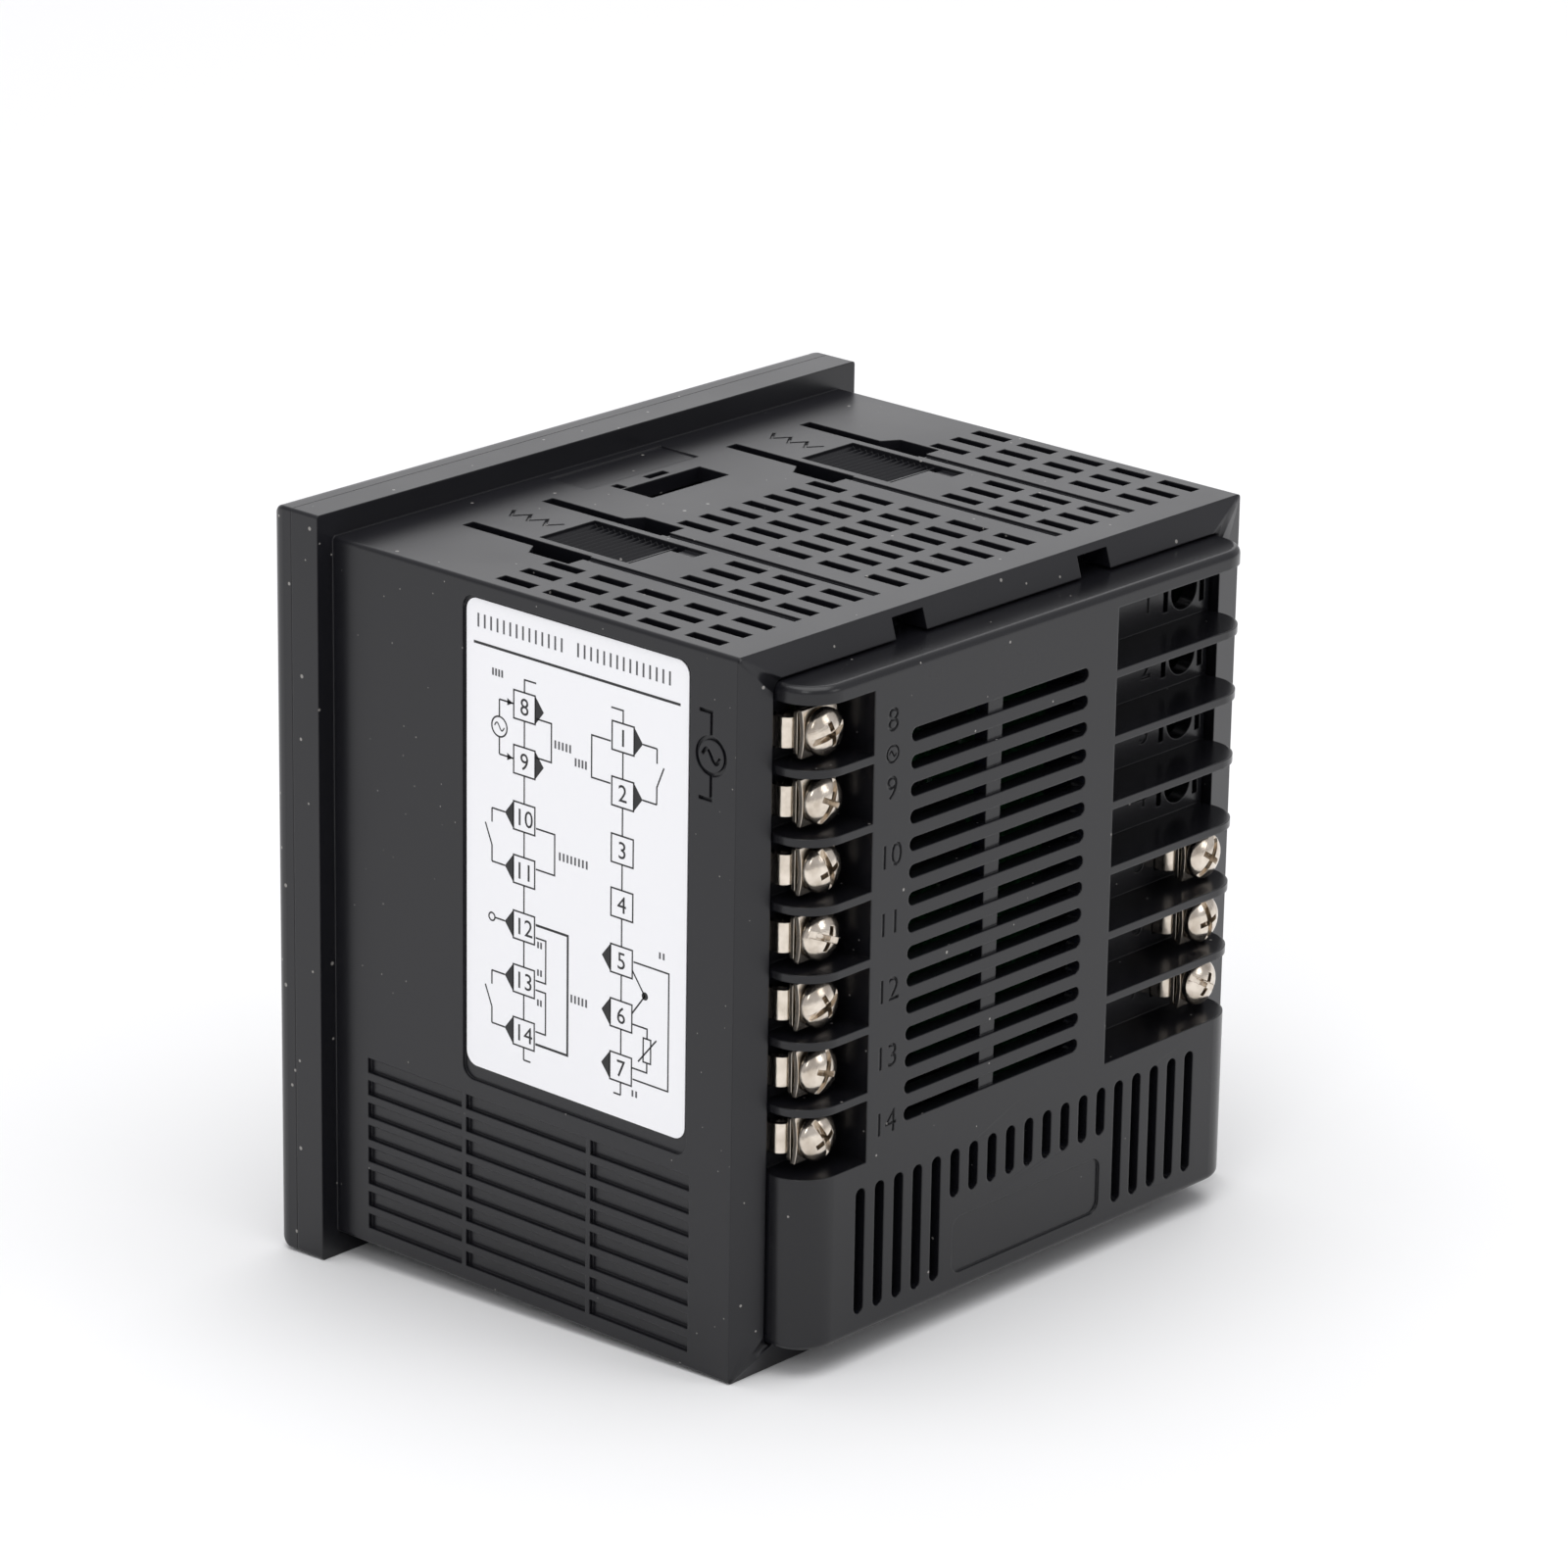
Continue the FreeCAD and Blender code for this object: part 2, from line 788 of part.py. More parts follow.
# ------------------------------------------------------------------ terminal base
def terminal_base():
    body = new_body("terminal_base")
    plan = level(body)
    half = "base_half_width"
    loop(
        plan,
        [
            (f"-{half}", "base_front"),
            (half, "base_front"),
            (half, "base_face", "base_corner"),
            (f"-{half}", "base_face", "base_corner"),
        ],
    )
    pad(body, plan, "2 * base_half_height", symmetric=True)
    rounded_edges(
        body,
        "base_lip_round",
        lambda edge: edge.BoundBox.YMin > value("base_face - base_corner - lap")
        and edge.BoundBox.ZLength < value("lap"),
    )

    # the hollow behind the face, which stays a wall thick all round
    inside = f"{half} - base_wall"
    hollow = upright(body, "base_front")
    rectangle(
        hollow, f"-({inside})", inside, "-base_half_height + base_wall",
        "base_half_height - base_wall",
    )
    pocket(body, hollow, "bay_floor - base_wall - base_front")
    deep = upright(body, "base_front")
    loop(
        deep,
        [
            (f"-({inside}) + base_corner / 2", "-base_half_height + base_wall"),
            (f"{inside} - base_corner / 2", "-base_half_height + base_wall"),
            (f"{inside} - base_corner / 2", "bay_bottom - base_wall"),
            ("left_bay_wall - base_wall", "bay_bottom - base_wall"),
            ("left_bay_wall - base_wall", "base_half_height - base_wall"),
            ("right_bay_wall + base_wall", "base_half_height - base_wall"),
            ("right_bay_wall + base_wall", "bay_bottom - base_wall"),
            (f"-({inside}) + base_corner / 2", "bay_bottom - base_wall"),
        ],
    )
    pocket(body, deep, "base_face - base_wall - base_front")

    # two banks of bays, open at the sides, with a rib between each bay and the next
    banks = upright(body, "base_face")
    rectangle(banks, "left_bay_wall", f"{half} + overcut", "bay_bottom", "bay_top")
    rectangle(banks, f"-{half} - overcut", "right_bay_wall", "bay_bottom", "bay_top")
    pocket(body, banks, "base_face - bay_floor", backwards=True)
    ribs = level(body, "bay_top - bay_pitch - bay_rib / 2")
    for wall, side in (("left_bay_wall", ""), ("right_bay_wall", "-")):
        corners = [
            (wall, "bay_floor - lap"),
            (f"{side}{half}", "bay_floor - lap"),
            (f"{side}{half}", "base_face", "base_corner"),
            (wall, "base_face"),
        ]
        loop(ribs, corners)
    rib = pad(body, ribs, "bay_rib")
    repeat(body, [rib], row("Z_Axis", "bay_pitch", BAYS - 1, backwards=True))

    # each bay's floor: a screw hole and the slits for the terminal's two legs
    floor = upright(body, "bay_floor")
    for side in ("", "-"):
        centre = f"{side}terminal_offset"
        circle(floor, centre, "terminal_first", "screw_clearance")
        for leg in ("-", "+"):
            middle = f"{centre} {leg} (terminal_half_width - terminal_sheet / 2)"
            rectangle(
                floor,
                f"{middle} - terminal_sheet / 2 - slit_gap",
                f"{middle} + terminal_sheet / 2 + slit_gap",
                "terminal_first - terminal_slit / 2",
                "terminal_first + terminal_slit / 2",
            )
    holes = pocket(body, floor, "bay_floor - base_front + overcut", backwards=True)
    repeat(body, [holes], row("Z_Axis", "bay_pitch", BAYS, backwards=True))

    # slots of the face: level rows between the banks, upright columns below them
    level_slot = upright(body, "base_face")
    slot(level_slot, "row_right", "row_left", "row_high", "slot_width")
    first = pocket(body, level_slot, "base_wall + overcut", backwards=True)
    repeat(body, [first], row("Z_Axis", "row_pitch", LEVEL_SLOTS, backwards=True))
    long_slot = upright(body, "base_face")
    slot(long_slot, "column_low", "column_top", "column_first", "slot_width", turned=True)
    first = pocket(body, long_slot, "base_wall + overcut", backwards=True)
    repeat(
        body,
        [first],
        row("X_Axis", "column_pitch", LONG_COLUMNS, backwards=True),
        mirror("YZ_Plane"),
    )
    short_slot = upright(body, "base_face")
    first_short = f"column_first - {LONG_COLUMNS} * column_pitch"
    slot(short_slot, "column_short_low", "column_top", first_short, "slot_width", turned=True)
    first = pocket(body, short_slot, "base_wall + overcut", backwards=True)
    repeat(body, [first], row("X_Axis", "column_pitch", SHORT_COLUMNS, backwards=True))

    # a bridge behind the level slots, and the shallow place for a plate
    bridge = upright(body, "base_face - bridge_recess")
    rectangle(
        bridge,
        "bridge_centre - bridge_width / 2",
        "bridge_centre + bridge_width / 2",
        f"row_high - {LEVEL_SLOTS} * row_pitch",
        "row_high + slot_width",
    )
    pad(body, bridge, "base_wall")
    shallow = upright(body, "base_face")
    rectangle(
        shallow, "-plate_half_width", "plate_half_width", "plate_low", "plate_high",
        "plate_corner",
    )
    pocket(body, shallow, "plate_recess", backwards=True)

    # four hooks that catch behind the case's rim
    hook = sideways(body, "notch_offset - snap_width / 2")
    front = "case_depth - rim_depth - snap_gap"
    loop(
        hook,
        [
            ("base_front", "base_half_height - overcut"),
            (front, "base_half_height - overcut"),
            (front, "base_half_height + snap_rise"),
            (f"{front} - snap_edge", "base_half_height + snap_rise"),
            ("base_front", "base_half_height"),
        ],
    )
    first = pad(body, hook, "snap_width")
    repeat(body, [first], mirror("YZ_Plane"), mirror("XY_Plane"))
    return body


def at_terminal(piece, side, spot, turn=0):
    """Puts a piece that is drawn on the Y axis at its bay."""
    piece.Placement = FreeCAD.Placement(
        FreeCAD.Vector(), FreeCAD.Rotation(FreeCAD.Vector(0, 1, 0), turn)
    )
    piece.setExpression("Placement.Base.x", bound(f"{side} * terminal_offset"))
    piece.setExpression("Placement.Base.z", bound(f"terminal_first - {spot} * bay_pitch"))


def terminal(number):
    """A bridge of folded sheet with a tapped hole; its legs pinch the board as a fork."""
    body = new_body(f"terminal_{number}")
    strip = level(body, "-terminal_rise / 2")
    half, sheet_ = "terminal_half_width", "terminal_sheet"
    leg = [
        (half, "terminal_top", "2 * terminal_sheet"),
        (half, "fork_shoulder"),
        (f"fork_gap + {sheet_}", "fork_pinch"),
        (f"fork_gap + {sheet_}", "fork_throat"),
        (f"fork_flare + {sheet_}", "fork_tip"),
        ("fork_flare", "fork_tip"),
        ("fork_gap", "fork_throat"),
        ("fork_gap", "fork_pinch + fork_bend"),
        (f"{half} - {sheet_}", "fork_shoulder + fork_bend"),
        (f"{half} - {sheet_}", f"terminal_top - {sheet_}", sheet_),
    ]
    other = [(f"-({corner[0]})", *corner[1:]) for corner in leg]
    loop(strip, leg + other[::-1])
    pad(body, strip, "terminal_rise")
    tapped = upright(body, "terminal_top - 2 * terminal_sheet")
    circle(tapped, "0", "0", "tapped_radius")
    pocket(body, tapped, "3 * terminal_sheet")
    return body


def terminal_screw(number):
    """A pan-head screw with a combined slot and cross recess."""
    body = new_body(f"terminal_screw_{number}")
    profile = level(body)
    sketch_crown(profile)
    turned = body.newObject("PartDesign::Revolution", "Revolution")
    turned.Profile = profile
    turned.ReferenceAxis = (profile, ["V_Axis"])
    turned.Angle = 360
    finished(body, turned)
    across = upright(body, "head_crown")
    width = "driver_slot_width / 2"
    rectangle(across, "-head_radius - lap", "head_radius + lap", f"-{width}", width)
    pocket(body, across, "driver_slot_depth", backwards=True)
    cross = upright(body, "head_crown")
    reach = "driver_cross_length / 2"
    corners = [
        (reach, f"-{width}"), (reach, width), (width, width), (width, reach),
        (f"-{width}", reach), (f"-{width}", width), (f"-{reach}", width),
        (f"-{reach}", f"-{width}"), (f"-{width}", f"-{width}"), (f"-{width}", f"-{reach}"),
        (width, f"-{reach}"), (width, f"-{width}"),
    ]
    loop(cross, corners)
    pocket(body, cross, "driver_cross_depth", backwards=True)
    return body


def sketch_crown(profile):
    """Half the screw's section: shank, seat, head edge and the crown's arc."""
    corners = [
        ("0", "thread_end"),
        ("thread_radius - thread_point", "thread_end"),
        ("thread_radius", "thread_end + thread_point"),
        ("thread_radius", "head_seat"),
        ("head_radius", "head_seat"),
        ("head_radius", "head_edge"),
    ]
    places = [FreeCAD.Vector(value(across), value(up), 0) for across, up in corners]
    for start, end in zip(places, places[1:]):
        profile.addGeometry(Part.LineSegment(start, end))
    top = FreeCAD.Vector(0, value("head_crown"), 0)
    shoulder = places[-1]
    rise = top.y - shoulder.y
    crown_radius = (shoulder.x**2 + rise**2) / (2 * rise)
    centre = FreeCAD.Vector(0, top.y - crown_radius, 0)
    lean = degrees(atan2(shoulder.y - centre.y, shoulder.x))
    whole = Part.Circle(centre, UP, crown_radius)
    dome = profile.addGeometry(Part.ArcOfCircle(whole, radians(lean), radians(90)))
    middle = profile.addGeometry(Part.LineSegment(top, places[0]))
    for number in range(len(corners) - 2):
        profile.addConstraint(Sketcher.Constraint("Coincident", number, 2, number + 1, 1))
    profile.addConstraint(Sketcher.Constraint("Coincident", dome - 1, 2, dome, 1))
    profile.addConstraint(Sketcher.Constraint("Coincident", dome, 2, middle, 1))
    profile.addConstraint(Sketcher.Constraint("Coincident", middle, 2, 0, 1))
    for number, corner in enumerate(corners[:-1]):
        pin(profile, number, 1, *corner)
    pin(profile, dome, 1, *corners[-1])
    pin(profile, dome, 2, "0", "head_crown")
    profile.addConstraint(Sketcher.Constraint("PointOnObject", dome, 3, -2))


def clamp_washers(number):
    """A flat square washer and a bowed one over it, both loose on the screw."""
    flat = washer_blank(f"flat_washer_{number}", "washer_seat", "washer_sheet")
    bowed = tool_body(f"bowed_washer_{number}")
    section = sideways(bowed, "-washer_side / 2")
    middle = "washer_crown - washer_bow"
    half = value("washer_side / 2")
    places = []
    for radius in ("washer_bow", "washer_bow - washer_sheet"):
        size = value(radius)
        lean = degrees(atan2(half, (size**2 - half**2) ** 0.5))
        whole = Part.Circle(FreeCAD.Vector(value(middle), 0, 0), UP, size)
        edge = section.addGeometry(Part.ArcOfCircle(whole, radians(-lean), radians(lean)))
        pin(section, edge, 3, middle, "0")
        limit(section, Sketcher.Constraint("Radius", edge, size), radius)
        for end, aside in ((1, "-washer_side / 2"), (2, "washer_side / 2")):
            limit(
                section,
                Sketcher.Constraint("DistanceY", -1, 1, edge, end, value(aside)),
                aside,
            )
        places.append(edge)
    outer, inner = places
    for end in (1, 2):
        ends = section.getPoint(outer, end), section.getPoint(inner, end)
        side = section.addGeometry(Part.LineSegment(*ends))
        section.addConstraint(Sketcher.Constraint("Coincident", outer, end, side, 1))
        section.addConstraint(Sketcher.Constraint("Coincident", inner, end, side, 2))
    pad(bowed, section, "washer_side")
    bore = upright(bowed, "washer_crown + overcut")
    circle(bore, "0", "0", "washer_bore")
    pocket(bowed, bore, "washer_bow", backwards=True)
    return listed(group(f"clamp_washers_{number}", [flat, bowed]), f"clamp_washers_{number}")


def washer_blank(label, depth, thickness):
    body = tool_body(label)
    face = upright(body, depth)
    half = "washer_side / 2"
    rectangle(face, f"-{half}", half, f"-{half}", half, "washer_sheet")
    circle(face, "0", "0", "washer_bore")
    pad(body, face, thickness, backwards=True)
    return body


def terminals():
    """A terminal, its washers and its screw in every bay that has one."""
    for side, first, numbers in BANKS:
        for number in numbers:
            spot = number - first
            at_terminal(terminal(number), side, spot)
            at_terminal(clamp_washers(number), side, spot)
            at_terminal(terminal_screw(number), side, spot, turn=number * SCREW_TURN)


# ------------------------------------------------------------------ draw-out unit
SKIRT_HALF_WIDTH = "case_width / 2 - case_wall - skirt_gap"
SKIRT_HALF_HEIGHT = "case_height / 2 - case_wall - skirt_gap"
FRAME_BACK = "-flange_depth - seam_gap"
FRAME_FACE = "-flange_depth - frame_depth"
FASCIA = f"{FRAME_FACE} + fascia_recess"
LAMPS = (-2, -1, 0, 1, 2)


def key_centre(place):
    return f"({place} - {(len(KEYS) - 1) / 2}) * key_pitch"


def square_at(sketch, across, up, half_width, half_height, radius=None):
    rectangle(
        sketch,
        f"({across}) - ({half_width})",
        f"({across}) + ({half_width})",
        f"({up}) - ({half_height})",
        f"({up}) + ({half_height})",
        radius,
    )


def front_frame():
    """The bezel moulding, with the skirt that slides in the case and the latch tongue."""
    body = new_body("front_frame")
    slab = upright(body, FRAME_BACK)
    square_at(slab, "0", "0", "bezel_side / 2", "bezel_side / 2", "flange_corner")
    pad(body, slab, "frame_depth - seam_gap")
    face = value(FRAME_FACE)
    rounded_edges(
        body,
        "frame_round",
        lambda edge: edge.BoundBox.YMax < face + value("lap"),
    )
    sunk = upright(body, FRAME_FACE)
    square_at(sunk, "0", "0", "fascia_side / 2", "fascia_side / 2", "fascia_corner")
    pocket(body, sunk, "fascia_recess")

    skirt = upright(body, f"{FRAME_BACK} - lap")
    square_at(skirt, "0", "0", SKIRT_HALF_WIDTH, SKIRT_HALF_HEIGHT, "case_corner")
    inner_width, inner_height = (
        f"{half} - skirt_wall" for half in (SKIRT_HALF_WIDTH, SKIRT_HALF_HEIGHT)
    )
    square_at(skirt, "0", "0", inner_width, inner_height, "case_corner")
    pad(body, skirt, f"skirt_back - ({FRAME_BACK}) + lap", backwards=True)
    tongue = level(body, f"{SKIRT_HALF_HEIGHT} - skirt_wall")
    square_at(
        tongue, "0", "(skirt_back + tongue_back) / 2", "tongue_half_width",
        "(tongue_back - skirt_back) / 2 + lap",
    )
    pad(body, tongue, "skirt_wall")

    # openings of the fascia: a ledged window, five lamps and four keys
    window = upright(body, FASCIA)
    rectangle(
        window, "-window_half_width", "window_half_width", "window_low", "window_high",
        "window_corner",
    )
    for place in LAMPS:
        circle(window, f"{place} * lamp_pitch", "lamp_height", "lamp_radius + lamp_gap")
    for place in range(len(KEYS)):
        square_at(
            window, key_centre(place), "key_height", "key_width / 2 + key_gap",
            "key_rise / 2 + key_gap", "key_corner",
        )
    pocket(body, window, "frame_depth")
    ledge = upright(body, FRAME_BACK)
    rectangle(
        ledge,
        "-window_half_width - window_ledge",
        "window_half_width + window_ledge",
        "window_low - window_ledge",
        "window_high + window_ledge",
        "window_corner",
    )
    pocket(body, ledge, "window_glass", backwards=True)
    return body


def front_film():
    """The printed film on the fascia, cut out for the window, lamps and keys."""
    body = new_body("front_film")
    film = upright(body, FASCIA)
    square_at(
        film, "0", "0", "fascia_side / 2 - key_gap", "fascia_side / 2 - key_gap",
        "fascia_corner",
    )
    rectangle(
        film, "-window_half_width", "window_half_width", "window_low", "window_high",
        "window_corner",
    )
    for place in LAMPS:
        circle(film, f"{place} * lamp_pitch", "lamp_height", "lamp_radius + lamp_gap")
    for place in range(len(KEYS)):
        square_at(
            film, key_centre(place), "key_height", "key_width / 2 + key_gap",
            "key_rise / 2 + key_gap", "key_corner",
        )
    pad(body, film, "film_thickness")
    return body


def front_window():
    body = new_body("front_window")
    glass = upright(body, FRAME_BACK)
    rectangle(
        glass,
        "-window_half_width - window_ledge",
        "window_half_width + window_ledge",
        "window_low - window_ledge",
        "window_high + window_ledge",
        "window_corner",
    )
    pad(body, glass, "window_glass")
    return body


def key(label, place):
    """A key cap: a rounded head, a flange behind the fascia, and a stem over its switch."""
    body = new_body(label)
    centre = key_centre(place)
    flange = upright(body, "key_flange_sheet - key_back")
    square_at(
        flange, centre, "key_height", "key_width / 2 + key_flange",
        "key_rise / 2 + key_flange", "key_corner",
    )
    pad(body, flange, "key_flange_sheet")
    head = upright(body, "lap - key_back")
    square_at(head, centre, "key_height", "key_width / 2", "key_rise / 2", "key_corner")
    pad(body, head, "key_face - key_back + lap")
    stem = upright(body, "key_flange_sheet / 2 - key_back")
    circle(stem, centre, "key_height", "key_stem_radius")
    pad(body, stem, "key_back - key_flange_sheet / 2 - key_stem_end", backwards=True)
    return body


def display_board():
    half_width = f"{SKIRT_HALF_WIDTH} - skirt_wall"
    half_height = f"{SKIRT_HALF_HEIGHT} - skirt_wall"
    body = new_body("display_board")
    board = upright(body, "display_board_front")
    square_at(board, "0", "0", half_width, half_height, "case_corner")
    pad(body, board, "board_sheet", backwards=True)
    return body


def digit_display(label, width, rise, centre):
    """A four-digit display module, soldered to the front of the display board."""
    depth = "digits_front + display_board_front"
    return listed(
        box(label, width, depth, rise, f"-({width}) / 2", "-digits_front",
            f"{centre} - ({rise}) / 2"),
        label,
    )


def indicator_lamps():
    """Five round-topped lamps behind the holes of the fascia."""
    body = new_body("indicator_lamps")
    lamps = upright(body, "display_board_front")
    for place in LAMPS:
        circle(lamps, f"{place} * lamp_pitch", "lamp_height", "lamp_radius")
    pad(body, lamps, "lamp_tip + display_board_front")
    return body


def key_switches():
    """A tact switch under each key's stem."""
    switches = []
    for place, name in enumerate(KEYS):
        centre = key_centre(place)
        case = box(
            f"{name}_switch_case", "switch_side", "switch_front + display_board_front",
            "switch_side", f"{centre} - switch_side / 2", "-switch_front",
            "key_height - switch_side / 2",
        )
        button = cylinder(
            f"{name}_switch_button", "switch_button_radius", "switch_button", centre,
            "-switch_button", "key_height", FreeCAD.Vector(0, 1, 0),
        )
        switches.append(fuse(f"{name}_switch", [case, button]))
    return listed(group("key_switches", switches), "key_switches")


def side_board(label, side):
    """An upright board whose rear edge plugs into the terminals' forks."""
    body = new_body(label)
    board = sideways(body, f"{side} * terminal_offset - board_sheet / 2")
    rectangle(
        board, "display_board_front + board_sheet", "board_back", "-board_half_height",
        "board_half_height",
    )
    pad(body, board, "board_sheet")
    return body


BOARD_INNER = "terminal_offset - board_sheet / 2"


def transformer():
    """A laminated core with its coil round the middle leg."""
    body = new_body("transformer_core")
    block = level(body, "core_low")
    left = f"{BOARD_INNER} - core_width"
    rectangle(block, left, BOARD_INNER, "core_front", "core_front + core_length")
    pad(body, block, "core_rise")
    windows = sideways(body, BOARD_INNER)
    low, high = "core_low + core_leg", "core_low + core_rise - core_leg"
    middle = "core_front + core_length / 2"
    rectangle(windows, "core_front + core_leg", f"{middle} - core_leg", low, high)
    rectangle(windows, f"{middle} + core_leg", "core_front + core_length - core_leg", low, high)
    pocket(body, windows, "core_width + overcut")

    coil = new_body("transformer_coil")
    ring = level(coil, f"{low} + coil_gap")
    outer_left, outer_right = f"{left} - core_leg / 2", f"{BOARD_INNER} - coil_gap"
    rectangle(
        ring, outer_left, outer_right, "core_front + core_leg + coil_gap",
        "core_front + core_length - core_leg - coil_gap",
    )
    pad(coil, ring, "core_rise - 2 * core_leg - 2 * coil_gap")
    middle_leg = level(coil, low)
    rectangle(
        middle_leg, f"{left} - coil_gap", f"{BOARD_INNER} + overcut",
        f"{middle} - core_leg - coil_gap / 2", f"{middle} + core_leg + coil_gap / 2",
    )
    pocket(coil, middle_leg, "core_rise", backwards=True)
    return body


def relay(label, place):
    return listed(
        box(label, "relay_width", "relay_length", "relay_rise",
            f"{BOARD_INNER} - relay_width", "relay_front",
            f"relay_low + ({place}) * relay_pitch"),
        label,
    )


def capacitors():
    cans = []
    for place in (0, 1):
        cans.append(
            cylinder(
                f"capacitor_{place}", "capacitor_radius", "capacitor_length",
                BOARD_INNER, f"capacitor_front + {place} * capacitor_pitch",
                "capacitor_height", FreeCAD.Vector(-1, 0, 0),
            )
        )
    return listed(group("capacitors", cans), "capacitors")


def control_chips():
    chips = []
    for place in (0, 1):
        chips.append(
            box(
                f"chip_{place}", "chip_rise", "chip_side", "chip_side", f"-({BOARD_INNER})",
                "chip_front", f"{place} * chip_pitch - chip_side",
            )
        )
    return listed(group("control_chips", chips), "control_chips")


def board_spacer():
    """The bar that holds the two boards apart near their rear edges."""
    return listed(
        box("board_spacer", f"2 * ({BOARD_INNER})", "spacer_length", "spacer_rise",
            f"-({BOARD_INNER})", "spacer_front", "spacer_height - spacer_rise"),
        "board_spacer",
    )


def draw_out_unit():
    front_frame()
    front_film()
    front_window()
    for place, name in enumerate(KEYS):
        key(name, place)
    display_board()
    digit_display("pv_display", "pv_width", "pv_rise", "pv_centre")
    digit_display("sv_display", "sv_width", "sv_rise", "sv_centre")
    indicator_lamps()
    key_switches()
    side_board("power_board", 1)
    side_board("input_board", -1)
    transformer()
    relay("output_relay", 1)
    relay("alarm_relay", 0)
    capacitors()
    control_chips()
    board_spacer()


def finish():
    doc.recompute()
    for thing in doc.Objects:
        if "Invalid" in thing.State or "Error" in thing.State:
            raise ValueError(f"{thing.Label} failed: {thing.State}")
    os.makedirs("parts", exist_ok=True)
    for part in PARTS:
        shape = part.Shape
        if shape.isNull() or not shape.isValid():
            raise ValueError(f"{part.Label} has no valid shape")
        shape.exportStep(f"parts/{part.Label}.step")
        print(part.Label, len(shape.Solids), round(shape.Volume, 1))


case_shell()
rating_label()
terminal_base()
terminals()
draw_out_unit()
finish()
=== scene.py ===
# %% [markdown]
# # A panel-mount temperature controller
# The real thing is a black moulded case, 96 mm square at its bezel, that stays in a control
# panel. Screw terminals sit on its back, and the display, keys and boards draw out of its
# front. The solids come from a CAD frame. This notebook gives them their finish, and adds
# what is too fine for the solids: print, moulded marks, threads, solder and small components.

# %% Load the frame
import json
import math
import random

import bmesh
import bpy
from mathutils import Matrix, Vector

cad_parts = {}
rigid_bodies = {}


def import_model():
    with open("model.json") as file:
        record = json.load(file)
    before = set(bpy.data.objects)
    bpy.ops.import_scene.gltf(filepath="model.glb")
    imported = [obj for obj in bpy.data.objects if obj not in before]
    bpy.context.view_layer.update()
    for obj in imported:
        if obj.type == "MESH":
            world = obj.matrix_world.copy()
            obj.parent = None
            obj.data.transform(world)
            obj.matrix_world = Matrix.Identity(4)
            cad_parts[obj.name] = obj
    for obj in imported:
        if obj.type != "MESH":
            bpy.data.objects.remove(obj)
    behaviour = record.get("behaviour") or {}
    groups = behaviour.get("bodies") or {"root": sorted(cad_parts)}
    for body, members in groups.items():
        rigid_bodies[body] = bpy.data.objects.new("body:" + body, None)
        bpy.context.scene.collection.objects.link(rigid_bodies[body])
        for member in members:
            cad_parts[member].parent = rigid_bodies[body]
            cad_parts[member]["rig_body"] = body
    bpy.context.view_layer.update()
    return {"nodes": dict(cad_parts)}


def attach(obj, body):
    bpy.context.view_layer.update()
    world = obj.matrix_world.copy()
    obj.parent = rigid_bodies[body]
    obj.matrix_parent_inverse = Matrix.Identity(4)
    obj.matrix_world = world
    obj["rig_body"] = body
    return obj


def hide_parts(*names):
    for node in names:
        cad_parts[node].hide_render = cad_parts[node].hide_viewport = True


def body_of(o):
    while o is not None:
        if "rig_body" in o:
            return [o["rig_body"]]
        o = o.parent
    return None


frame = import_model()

nodes = frame["nodes"]
MM = 0.001

# %% [markdown]
# ## Colour
# Colours are chosen on a screen as sRGB hex values, but a renderer adds up light, so it wants
# linear numbers. They could be worked out once and written down, but then nobody could read
# them. One function keeps the hex values in sight and turns them where they are used.


# %% Linear colour
def linear(hex_code):
    """An sRGB hex value such as #1c1c1f as linear red, green, blue and alpha."""
    channels = [int(hex_code[start : start + 2], 16) / 255 for start in (1, 3, 5)]
    curve = [c / 12.92 if c <= 0.04045 else ((c + 0.055) / 1.055) ** 2.4 for c in channels]
    return (*curve, 1.0)


print("a mid grey in linear light:", round(linear("#808080")[0], 3))

# %% [markdown]
# ## Building a material
# A material is a graph of nodes. Adding, setting and wiring each one takes several lines, so
# one function does all three, and a material then reads from top to bottom like a recipe.
# Patterns follow the object's own coordinates, in metres. A texture's scale counts repeats to
# a metre, so a pattern's real size in millimetres is turned into that.


# %% Nodes, materials and scales
def add_node(tree, kind, settings=None, links=None):
    """Adds a node. Settings are its properties, links its inputs: numbers or other outputs."""
    node = tree.nodes.new("ShaderNode" + kind)
    for name, value in (settings or {}).items():
        setattr(node, name, value)
    for name, source in (links or {}).items():
        if isinstance(source, bpy.types.NodeSocket):
            tree.links.new(source, node.inputs[name])
        else:
            node.inputs[name].default_value = source
    return node


def start_material(name):
    """An empty material, its node tree and the place on the object in metres."""
    material = bpy.data.materials.new(name)
    material.use_nodes = True
    material.node_tree.nodes.clear()
    place = add_node(material.node_tree, "TexCoord").outputs["Object"]
    return material, material.node_tree, place


def end_material(tree, links):
    """Closes a material with a shader that takes these inputs."""
    shader = add_node(tree, "BsdfPrincipled", links=links)
    add_node(tree, "OutputMaterial", links={"Surface": shader.outputs["BSDF"]})


def per(millimetres):
    """The texture scale at which a pattern repeats about once in so many millimetres."""
    return 1 / (millimetres * MM)


# a Mix node in colour mode keeps its colours at these sockets
MIX_A, MIX_B, MIX_OUT = 6, 7, 2
print("a 2 mm pattern has the scale", round(per(2)))

# %% [markdown]
# ## Moulded plastics
# The case is ABS from a spark-eroded mould: near black, with a grain of about a fifth of a
# millimetre that breaks up reflections. Its edges are never quite sharp. Rounding each one as
# a mesh would cost many faces, so a Bevel node bends the normals over the last quarter of a
# millimetre instead, which catches light as the real radius does. A little pale dust clings
# to it, as it does to any black plastic on a bench: cells 2 mm wide hold one speck each, most
# of them too small to see. One function makes every such plastic, because the real ones
# differ only in these numbers.


